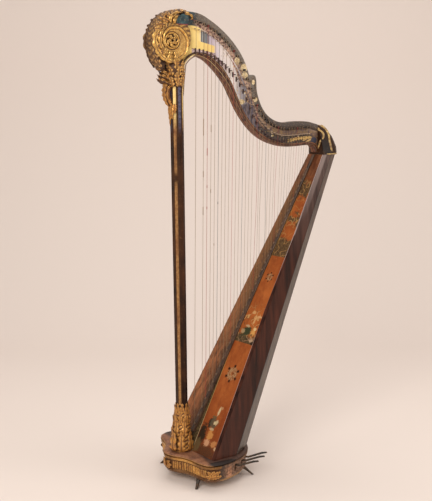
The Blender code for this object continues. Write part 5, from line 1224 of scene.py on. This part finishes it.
nut_studs = studs.grown("nut_studs", dots([Vector((string_x(i) - 0.0028, -0.0180, pin_height(i) - 0.023)) for i in range(STRING_COUNT)]),
                        studs_out, bone.material)
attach(nut_studs, "frame")
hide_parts("nut_rail")

# The shoulder's gilding: two strips that run down the lacquered block from the neck, and a band
# where it meets the soundbox. Strips of gilt wood, let into the block.

SHOULDER = ((0.0003, 0.0035, 0.0475, 0), (0.008, 0, 0.0475, 0.001), (0.026, 0.0002, 0.045, 0.003), (0.05, 0.009, 0.039, 0.006),
            (0.068, 0.0175, 0.0335, 0.008), (0.084, 0.033, 0.028, 0.0095), (0.097, 0.053, 0.023, 0.0105), (0.106, 0.074, 0.0205, 0.011))
BOX_TOP, SHOULDER_FRONT, HARP_REAR = 1.13493, 0.5613, 0.64685


def shoulder_point(z, across):
    """A place on the shoulder's face: across is -1 at its front left corner and 1 at its front right."""
    rise = z - BOX_TOP
    for low, high in zip(SHOULDER, SHOULDER[1:]):
        if low[0] <= rise <= high[0]:
            share = (rise - low[0]) / (high[0] - low[0])
            set_in, wide, middle = [low[k] + (high[k] - low[k]) * share for k in (1, 2, 3)]
    deep = (HARP_REAR - set_in - SHOULDER_FRONT) * (1 - across * across) ** 0.4
    return drawn(SHOULDER_FRONT + deep, middle + wide * across, z)


shoulder_gilt = gilt_finish("shoulder_gilt", (0.62, 0.36, 0.10), (0.24, 0.105, 0.035), highlight=(0.95, 0.78, 0.40))
strips = [[drawn(0.5570, -0.0120, 1.2330), drawn(0.5608, -0.0150, 1.2240)]
          + [shoulder_point(z, c) for z, c in ((1.2120, -0.99), (1.1990, -0.995))]
          + [drawn(0.5606, -0.0270, 1.1840), drawn(0.5600, -0.0190, 1.1690), drawn(0.5595, -0.0120, 1.1560)]]
for side in (-1, 1):
    strips.append([shoulder_point(z, side * c) for z, c in
                   ((1.2400, 0.30), (1.2350, 0.52), (1.2230, 0.68), (1.2080, 0.80), (1.1883, 0.90), (1.1622, 0.93), (1.1385, 0.90))])
strips.append([shoulder_point(1.1372, -0.995 + 1.99 * k / 24) for k in range(25)])
runs, values = [], []
for strip, thick, sunk in zip(strips, (0.0046, 0.0060, 0.0060, 0.0026), (0.0030, 0.0036, 0.0036, 0.0)):
    path = [place + (drawn(0.604, 0.006, place.z) - place).normalized() * sunk for place in curved(strip, 5)]
    runs.append(path)
    values.append([{"thick": thick * min(1, 0.3 + min(k, len(path) - 1 - k) * 0.25)} for k in range(len(path))])
shoulder_strips = tubes("shoulder_strips", lined(runs, values, "strip_lines"), 8, shoulder_gilt)
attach(shoulder_strips, "frame")

# The soundbox: five long staves of maple, glued edge to edge over inner ribs, stained dark red-brown and varnished,
# with painted light on the three back staves. Dark lines show where the staves meet.
BOARD_LEAN = math.radians(27.5)
BOARD_FOOT = 0.0985
STAVE_CORNERS = ((0, 1), (0.46, 0.93), (0.88, 0.48), (0.88, -0.48), (0.46, -0.93), (0, -1))


def box_share(z):
    return (z - BOARD_FOOT) / (BOX_TOP - BOARD_FOOT)


def half_width(z):
    share = box_share(z)
    return 0.163 - 0.117 * share - 0.004 * share * (1 - share)


def board_face(z):
    return 0.0145 + (z - BOARD_FOOT) * math.tan(BOARD_LEAN)


def stave_corners(z, inset):
    """The staves' corners at this height: the front edge on the left, round the back, to the right."""
    flat = 1 / math.cos(BOARD_LEAN)
    crown = (0.0215 - 0.018 * box_share(z)) * flat
    front = board_face(z) + crown + 0.0038 * flat
    reach = (0.204 - 0.127 * box_share(z)) * flat - crown - (0.0038 + inset) * flat
    return [drawn(front + reach * deep, -(half_width(z) - inset) * out, z) for deep, out in STAVE_CORNERS]


stave_shape = bmesh.new()
around_layer = stave_shape.verts.layers.float.new("around")
rings = []
for i in range(21):
    z = 0.0988 + (BOX_TOP - 0.0988) * i / 20
    outer, inner = stave_corners(z, 0), stave_corners(z, 0.005)
    ring = []
    for k in range(5):
        for share in (0.0, 0.03, 0.5, 0.97):
            point = outer[k].lerp(outer[k + 1], share)
            if share == 0.0 and k:
                point = point.lerp(inner[k], 0.12)
            vert = stave_shape.verts.new(point)
            vert[around_layer] = k + share
            ring.append(vert)
    ring.append(stave_shape.verts.new(outer[5]))
    ring[-1][around_layer] = 5.0
    for point in reversed(inner):
        vert = stave_shape.verts.new(point)
        vert[around_layer] = 2.5
        ring.append(vert)
    rings.append(ring)
for low, high in zip(rings, rings[1:]):
    for k in range(len(low)):
        stave_shape.faces.new((low[k], low[(k + 1) % len(low)], high[(k + 1) % len(low)], high[k]))
for ring in (rings[0], rings[-1]):
    outer_row, inner_row = ring[:21], list(reversed(ring[21:]))
    for k in range(5):
        for j in range(4):
            stave_shape.faces.new([outer_row[4 * k + j], outer_row[4 * k + j + 1]] + ([inner_row[k + 1], inner_row[k]] if j == 3 else [inner_row[k]]))
staves = Finish("stave_wood", 0.32, gloss=0.22)
around, height = staves.attribute("around"), staves.axis("Z")
grain = staves.noise(62.0, 5.0, 0.62, staves.placed((1, 1, 0.05), (0, -BOARD_LEAN, 0)))
figure = staves.noise(7.0, 4.0, 0.6, staves.placed((1, 1, 0.35)))
scratch = staves.noise(230.0, 3.0, 0.7, staves.placed((1, 1, 0.2)))
edge_stave = 1 - around.between(0.99, 1.01) * (1 - around.between(3.99, 4.01))
colour = staves.mix(grain.between(0.35, 0.66), (0.016, 0.006, 0.004), (0.078, 0.022, 0.012))
colour = staves.mix(figure.between(0.42, 0.62) * 0.8, colour, (0.042, 0.014, 0.009))
colour = staves.mix((figure.between(0.56, 0.72) * grain.between(0.45, 0.7)), colour, (0.150, 0.036, 0.020))
# Painted light: the three back staves are painted a lighter grey-brown, as lit from the right; the two side staves keep
# the dark stain.
painted_light_stave = staves.mix(grain.between(0.35, 0.66), (0.036, 0.024, 0.018), (0.125, 0.086, 0.062))
colour = staves.mix(edge_stave, painted_light_stave, colour)
colour = staves.mix(height.between(0.75, 1.12) * 0.6, colour, staves.mix(grain.between(0.4, 0.6), (0.060, 0.036, 0.030), (0.150, 0.098, 0.082)))
colour = staves.mix(height.between(0.90, 1.10) * (1 - around.between(0.35, 0.50)) * 0.7, colour, (0.300, 0.225, 0.205))
for k in range(1, 5):
    colour = staves.mix((around - float(k)).distance().between(0.010, 0.030), (0.008, 0.005, 0.005), colour)
staves.finish(colour, 0.24 + scratch * 0.22, None, grain + scratch * 0.5, 0.0003, 0.25)
stave_body = finished("stave_body", stave_shape, staves.material, False)
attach(stave_body, "frame")
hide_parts("soundbox_staves")

# The soundboard: thin spruce, painted orange-red on the left and brown on the right of the rib, with
# gilt ornament round the sound holes, painted sprays and bands, and varnish over all.
board = Finish("board_paint", 0.45, gloss=0.1)
across = board.axis("Y")
along = (board.axis("Z") - BOARD_FOOT) * (1 / math.cos(BOARD_LEAN))
grain = board.noise(48.0, 5.0, 0.6, board.placed((1, 1, 0.05), (0, -BOARD_LEAN, 0)))
cloud = board.noise(9.0, 5.0, 0.65)
wobble = board.noise(46.0, 3.0, 0.6)
grime = board.noise(150.0, 4.0, 0.7)
curls = board.noise(34.0, 1.0, 0.4)
OLIVE, DARK, GOLD, CREAM = (0.120, 0.078, 0.034), (0.030, 0.018, 0.010), (0.50, 0.280, 0.085), (0.56, 0.43, 0.24)


def board_reach(y0, s0, half_y, half_s):
    """Distance on the board from a place, in units of a dab's half width and half length."""
    side, up = (across - y0) / half_y, (along - s0) / half_s
    return board.node("ShaderNodeMath", {"operation": "SQRT"}, {0: side * side + up * up})


def board_dab(tone, y0, s0, half_y, half_s, colour, strength=1.0, ragged=1.2):
    """A dab of old paint with ragged, mottled edges, over the tone that is there."""
    reach = board_reach(y0, s0, half_y, half_s) + (wobble - 0.5) * ragged + (grime - 0.5) * 1.6
    return board.mix((1 - reach.between(0.70, 1.10)) * strength, tone, colour)


def rosette(tone, y0, s0, radius):
    """Painted speckles inside a ring of sound holes, and a dark rim at each hole."""
    reach = board_reach(y0, s0, radius, radius)
    angle = board.node("ShaderNodeMath", {"operation": "ARCTAN2"}, {0: across - y0, 1: along - s0})
    tone = board.mix((1 - (reach - 0.52).distance().between(0.20, 0.46)) * grime.between(0.42, 0.58) * 0.8, tone, (0.34, 0.25, 0.13))
    tone = board.mix((1 - reach.between(0.85, 0.98)) * (1 - grime.between(0.40, 0.46)) * 0.7, tone, (0.060, 0.030, 0.015))
    near_hole = (angle * 6.0 + math.pi / 2).wave().between(0.35, 0.75) * (1 - (reach - 1.0).distance().between(0.12, 0.26))
    return board.mix(near_hole * 0.9, tone, (0.024, 0.010, 0.006))


red = board.mix(cloud.between(0.34, 0.66), (0.215, 0.044, 0.0095), (0.400, 0.112, 0.025))
red = board.mix(grain.between(0.50, 0.70) * 0.5, red, (0.160, 0.036, 0.010))
red = board.mix((1 - along.between(0.05, 0.34)) * 0.5, red, (0.150, 0.026, 0.009))
red = board.mix((1 - along.between(0.00, 0.09)) * grime.between(0.40, 0.55) * 0.8, red, (0.075, 0.022, 0.010))
red = board.mix(grime.between(0.62, 0.74) * 0.5, red, (0.52, 0.22, 0.075))
line_y = (0.0300 - (along - 0.0850) * 0.0696).most(0.0085)
olive = board.mix(grime.between(0.36, 0.62), DARK, OLIVE)
curl_line = 1 - (curls - 0.5).distance().between(0.010, 0.032)
curl_shade = 1 - (curls - 0.53).distance().between(0.010, 0.030)
painted = red
for y0, s0, half_y, half_s, colour, strength in (
        (-0.094, 0.018, 0.058, 0.026, (0.060, 0.030, 0.015), 0.7), (-0.050, 0.066, 0.020, 0.042, DARK, 1.0),
        (-0.045, 0.026, 0.022, 0.028, OLIVE, 0.8), (-0.0918, 0.074, 0.0160, 0.0190, (0.48, 0.21, 0.060), 0.95),
        (-0.0913, 0.046, 0.0165, 0.0140, (0.50, 0.26, 0.140), 0.95), (-0.1270, 0.051, 0.0150, 0.0120, (0.46, 0.20, 0.070), 0.8),
        (-0.1430, 0.037, 0.0080, 0.0070, (0.52, 0.33, 0.18), 0.8), (-0.0787, 0.138, 0.0120, 0.0090, OLIVE, 0.9),
        (-0.0870, 0.163, 0.0060, 0.0170, CREAM, 0.85), (-0.0960, 0.178, 0.0070, 0.0060, (0.44, 0.24, 0.11), 0.7),
        (-0.0680, 0.116, 0.0090, 0.0200, DARK, 1.0), (-0.0850, 0.118, 0.0200, 0.0200, (0.090, 0.070, 0.042), 0.9),
        (-0.0890, 0.121, 0.0050, 0.0060, CREAM, 0.9), (-0.0870, 0.097, 0.0130, 0.0050, CREAM, 0.6),
        (-0.0980, 0.125, 0.0060, 0.0120, CREAM, 0.75)):
    painted = board_dab(painted, y0, s0, half_y, half_s, colour, strength)
painted = rosette(painted, -0.069, 0.305, 0.028)
painted = rosette(painted, -0.046, 0.678, 0.016)
sprays = along.between(0.425, 0.450) * (1 - along.between(0.530, 0.580))
painted = board.mix(sprays * curl_shade * 0.8, painted, (0.130, 0.045, 0.015))
painted = board.mix(sprays * curl_line * 0.9, painted, (0.50, 0.270, 0.100))
band = along.between(0.421, 0.424) * (1 - (along + (wobble - 0.5) * 0.03).between(0.444, 0.456))
painted = board.mix(band, painted, board.mix(curl_line * 0.8, olive, (0.30, 0.155, 0.085)))
for y0, s0, half_y, half_s, colour, strength in (
        (-0.0500, 0.4660, 0.0260, 0.0200, (0.036, 0.040, 0.017), 1.0), (-0.0300, 0.4640, 0.0110, 0.0090, (0.40, 0.27, 0.14), 0.7),
        (-0.0440, 0.4860, 0.0140, 0.0050, (0.44, 0.30, 0.16), 0.8), (-0.0820, 0.4660, 0.0120, 0.0160, (0.58, 0.29, 0.080), 0.9),
        (-0.0870, 0.4800, 0.0080, 0.0060, (0.64, 0.46, 0.22), 0.8), (-0.0800, 0.4560, 0.0060, 0.0050, (0.10, 0.05, 0.02), 0.8),
        (-0.0880, 0.5270, 0.0140, 0.0040, (0.58, 0.33, 0.15), 0.8), (-0.0890, 0.4370, 0.0100, 0.0070, (0.46, 0.30, 0.19), 0.8),
        (-0.0660, 0.5120, 0.0050, 0.0180, (0.54, 0.30, 0.12), 0.8), (-0.0480, 0.5380, 0.0090, 0.0060, (0.54, 0.30, 0.12), 0.8),
        (-0.1010, 0.4270, 0.0090, 0.0070, DARK, 1.0)):
    painted = board_dab(painted, y0, s0, half_y, half_s, colour, strength, 1.4)
# A noise offset that makes the painted bands' upper edges ragged.
band_wobble = (wobble - 0.5) * 0.10
upper = along + band_wobble
olive_zone = (along.between(0.758, 0.761) * (1 - upper.between(0.826, 0.840))).most(
    upper.between(0.884, 0.894) * (1 - upper.between(0.920, 0.930))).most(upper.between(0.992, 1.002) * (1 - upper.between(1.050, 1.070)))
painted = board.mix(olive_zone * 0.92, painted, board.mix(curl_line * 0.7, olive, (0.26, 0.155, 0.060)))
painted = board.mix(along.between(0.761, 0.770) * (1 - along.between(1.04, 1.08)) * curl_line * 0.55, painted, (0.40, 0.20, 0.065))
painted = board.mix(upper.between(1.050, 1.075) * 0.92, painted, board.mix(grain.between(0.4, 0.6), (0.080, 0.026, 0.012), (0.180, 0.068, 0.030)))
beside_rib = 1 - (across.distance() - line_y).between(-0.0006, 0.0006)
painted = board.mix(beside_rib * (1 - along.between(1.00, 1.06) * 0.8), painted, olive)
rib_line = 1 - (across.distance() - line_y).distance().between(0.0005, 0.0013)
painted = board.mix(rib_line * (1 - along.between(0.90, 1.02)) * 0.85, painted, board.mix(1 - along.between(0.09, 0.16), GOLD, CREAM))
share_up = along * (1 / ((BOX_TOP - BOARD_FOOT) / math.cos(BOARD_LEAN)))
edge = (0.163 - 0.117 * share_up - 0.004 * share_up * (1 - share_up)) + across - 0.0125 * (1 - along.between(0.55, 0.85))
line_tone = board.mix(along.between(0.05, 0.12) * (1 - along.between(0.40, 0.50)), (0.130, 0.055, 0.045), (0.46, 0.29, 0.25))
line_tone = board.mix(along.between(0.62, 0.82), line_tone, (0.60, 0.50, 0.48))
painted = board.mix(edge.between(-0.0002, 0.0004), board.mix(grain.between(0.35, 0.66), (0.018, 0.007, 0.005), (0.080, 0.024, 0.014)),
                    board.mix(edge.between(0.0012, 0.0018), line_tone, painted))
brown = board.mix(grain.between(0.36, 0.64), (0.120, 0.042, 0.016), (0.420, 0.150, 0.055))
brown = board.mix(cloud.between(0.50, 0.66) * 0.5, brown, (0.090, 0.034, 0.014))
# Painted shadow: the far half is painted darker right beside the rib, as the rib's shadow.
brown = board.mix((1 - (across + (wobble - 0.5) * 0.02).between(0.018, 0.072)) * 0.85, brown, (0.042, 0.020, 0.009))
brown = board.mix(along.between(0.36, 0.66) * 0.55, brown, board.mix(curl_shade.most(grain.between(0.5, 0.62)), (0.165, 0.080, 0.030), (0.046, 0.026, 0.011)))
brown = board.mix(along.between(0.36, 0.42) * (1 - along.between(1.02, 1.06)) * curl_line * 0.6, brown, (0.300, 0.140, 0.050))
brown = board.mix(along.between(1.02, 1.08) * 0.85, brown, board.mix(grain.between(0.4, 0.6), (0.090, 0.029, 0.013), (0.240, 0.082, 0.034)))
brown = board.mix(grime.between(0.58, 0.74) * 0.45, brown, (0.340, 0.150, 0.065))
colour = board.mix(1 - across.between(-0.0005, 0.0005), brown, painted)
board.finish(colour, 0.40 + grime * 0.2, None, grain + grime * 0.5, 0.0004, 0.3)
dress(["soundboard"], board.material)

# The rib down the middle of the soundboard, that the strings come through: hard wood, stained brown.
rib_wood = wood_finish("rib_wood", (0.022, 0.011, 0.007), (0.105, 0.052, 0.028), (1, 1, 0.1), 60.0, 0.4, 0.3, gloss=0.3)
dress(["string_rib"], rib_wood)

# The strings: gut, red for every C and black for every F, held by pegs in the rib. The second
# string is missing, several are knotted where they once broke, and three treble strings are slack.
BOARD_OUT = Vector((-math.cos(BOARD_LEAN), 0, math.sin(BOARD_LEAN)))
BOARD_UP = Vector((math.sin(BOARD_LEAN), 0, math.cos(BOARD_LEAN)))
STRING_Y = -0.0215
MISSING = (1,)
KNOTS = {2: ((1.078, 0.010), (0.950, 0.014), (1.239, 0.028)), 3: ((1.034, 0.004), (0.960, 0.004), (1.154, 0.012)),
         4: ((1.018, 0.006), (1.234, 0.012)), 5: ((0.829, 0.004),), 6: ((0.975, 0.004),)}
SLACK = {17: 0.006, 19: -0.007, 20: 0.010, 24: -0.006, 28: 0.005}


def board_height(x):
    """Height at which a string at this X meets the rib's front."""
    return 0.0985 + (x + MIDDLE_X + 0.0063 / math.cos(BOARD_LEAN) - 0.0145) / math.tan(BOARD_LEAN)


runs, values, coil_places = [], [], []
for i in range(STRING_COUNT):
    x = string_x(i)
    high, pin_z = pin_height(i) - 0.023, pin_height(i)
    if i in MISSING:
        continue
    start = Vector((x, 0, board_height(x) + 0.0016))
    nut = Vector((x, STRING_Y, high))
    thick = 0.00078 - 0.00046 * i / 36
    hue = {3: 0.5, 6: 1.0}.get(i % 7, 0.0)
    line, row = [], []
    marks = sorted([0.0, 1.0] + [k / 24 for k in range(1, 24)]
                   + [(z + d - start.z) / (nut.z - start.z) for z, half in KNOTS.get(i, ()) for d in (-half - 0.001, -half, half, half + 0.001)])
    for share in marks:
        point = start.lerp(nut, share)
        bulge = SLACK.get(i, 0) * math.sin(math.pi * share) * (0.6 + 0.4 * math.sin(5 * share + i))
        near_knot = any(abs(point.z - z) <= half + 1e-6 for z, half in KNOTS.get(i, ()))
        line.append(point + Vector((bulge, -abs(bulge) * 0.3, 0)))
        row.append({"thick": thick * (2.1 if near_knot else 1.0), "hue": hue})
    line.append(Vector((x + 0.0008, STRING_Y + 0.0005, pin_z)))
    row.append({"thick": thick, "hue": hue})
    runs.append(line)
    values.append(row)
    coil_places.append((x + 0.0040, pin_z, thick, hue))

gut = Finish("gut", 0.42)
fibres = gut.noise(400.0, 3.0)
hue = gut.attribute("hue")
plain = gut.mix(fibres, (0.16, 0.095, 0.050), (0.34, 0.22, 0.12))
dyed = gut.mix(hue.between(0.6, 0.9), (0.30, 0.035, 0.020), (0.018, 0.015, 0.016))
gut.finish(gut.mix(hue.between(0.2, 0.4), plain, dyed), None, None, fibres, 0.0002, 0.3)
string_runs = tubes("string_runs", lined(runs, values, "string_lines"), 6, gut.material)
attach(string_runs, "frame")
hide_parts("strings")
coils, values = [], []
for x, z, thick, hue_value in coil_places:
    coils.append([Vector((x + 0.0034 * math.cos(a), STRING_Y + 0.0030 - 0.0010 * a / 6.3, z + 0.0034 * math.sin(a)))
                  for a in [math.pi / 5 * k for k in range(26)]])
    values.append([{"thick": thick, "hue": hue_value}] * 26)
string_coils = tubes("string_coils", lined(coils, values, "coil_lines"), 5, gut.material)
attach(string_coils, "frame")

# Pegs of turned bone and dark wood that hold the strings in the rib.
peg_shape = bmesh.new()
for i in range(STRING_COUNT):
    x = string_x(i)
    seat = Vector((x + 0.0018, 0, board_height(x + 0.0018)))
    rows = []
    for lift, radius in ((-0.004, 0.0024), (0.0002, 0.0026), (0.0006, 0.0042), (0.0016, 0.0046), (0.0028, 0.0036), (0.0040, 0.0014)):
        rows.append([seat + BOARD_OUT * lift + BOARD_UP * (radius * math.cos(a)) + Vector((0, radius * math.sin(a), 0))
                     for a in [math.pi / 5 * k for k in range(10)]])
    skin(peg_shape, rows, [[0.5] * 10] * 6)
horn = Finish("peg_horn", 0.35)
horn_cloud = horn.noise(220.0, 4.0, 0.6)
horn.finish(horn.mix(horn_cloud, (0.035, 0.018, 0.012), (0.22, 0.12, 0.06)), 0.3 + horn_cloud * 0.2, None, horn_cloud, 0.0002, 0.3)
string_pegs = finished("string_pegs", peg_shape, horn.material)
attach(string_pegs, "frame")

# Hooks: one for each string, forged with a crook that presses the string when the pedal draws it in.
# A long plate on the neck's face guides each shank.
hook_metal = Finish("hook_metal", 0.4, 0.6)
hook_cloud = hook_metal.noise(260.0, 4.0, 0.65)
steel = hook_metal.mix(hook_cloud.between(0.4, 0.7), (0.026, 0.014, 0.016), (0.15, 0.085, 0.075))
yellow = hook_metal.mix(hook_cloud.between(0.35, 0.65), (0.34, 0.19, 0.055), (0.86, 0.60, 0.24))
treble = (hook_metal.axis("X") + MIDDLE_X).between(0.415, 0.440)
hook_metal.finish(hook_metal.mix(treble, steel, yellow), 0.32 + hook_cloud * 0.3, None, hook_cloud, 0.0002, 0.3)


def hook_height(i):
    x = string_x(i)
    nut_z = pin_height(i) - 0.023
    drop = max(0.0562 * (nut_z - board_height(x)), 0.013)
    edge = next(a.z + (b.z - a.z) * (x - a.x) / (b.x - a.x) for a, b in zip(under_curve, under_curve[1:]) if a.x <= x <= b.x)
    return max(nut_z - drop, edge + 0.008)


under_curve = sorted(curved([drawn(x, 0, z) for x, z in NECK_UNDER], 4), key=lambda place: place.x)
plate_places = []
for note in NOTES:
    runs, values = [], []
    for i in range(STRING_COUNT):
        if "gabcdef"[i % 7] != note:
            continue
        x = string_x(i) + 0.0009 - 0.0005 * i / 36 + 0.0008 + 0.0014
        z = hook_height(i)
        plate_places.append(Vector((x, FACE_Y - 0.0004, z + 0.0055 * max(0, 1 - i / 11) - 0.0020 * min(1, i / 24))))
        runs.append([Vector((x, 0.010, z)), Vector((x, FACE_Y, z)), Vector((x, -0.0262, z)), Vector((x - 0.0004, -0.0281, z)),
                     Vector((x - 0.0030, -0.0286, z - 0.0004)), Vector((x - 0.0070, -0.0283, z - 0.0016)),
                     Vector((x - 0.0088, -0.0275, z - 0.0034))])
        values.append([{"thick": r} for r in (0.0014, 0.0014, 0.0015, 0.0017, 0.0016, 0.0014, 0.0008)])
    crooks = tubes("crooks_" + note, lined(runs, values, "crook_lines_" + note), 6, hook_metal.material)
    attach(crooks, "hook_set_" + note)
    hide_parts("hooks_" + note)
plates = Tree("plate_plan", {"Width": 0.0062, "Height": 0.0185, "Thickness": 0.0014})
size = plates.node("ShaderNodeCombineXYZ", {}, {0: plates.size("Width"), 1: plates.size("Thickness"), 2: plates.size("Height")})
bar = plates.node("GeometryNodeMeshCube", {}, {"Size": size, "Vertices X": 2, "Vertices Y": 2, "Vertices Z": 4})
place_x = plates.node("ShaderNodeSeparateXYZ", {}, {0: plates.node("GeometryNodeInputPosition", {}, {})})
shorter = plates.node("ShaderNodeMapRange", {}, {"Value": place_x, "From Min": -0.10, "From Max": 0.08, "To Min": 1.0, "To Max": 0.62})
shrink = plates.node("ShaderNodeCombineXYZ", {}, {0: 1.0, 1: 1.0, 2: shorter})
spread = plates.node("GeometryNodeInstanceOnPoints", {}, {"Points": plates.start.outputs[0], "Instance": bar, "Scale": shrink})
plates_out = plates.node("GeometryNodeRealizeInstances", {}, {"Geometry": spread})
hook_plates = plates.grown("hook_plates", dots(plate_places), plates_out, hook_metal.material)
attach(hook_plates, "frame")
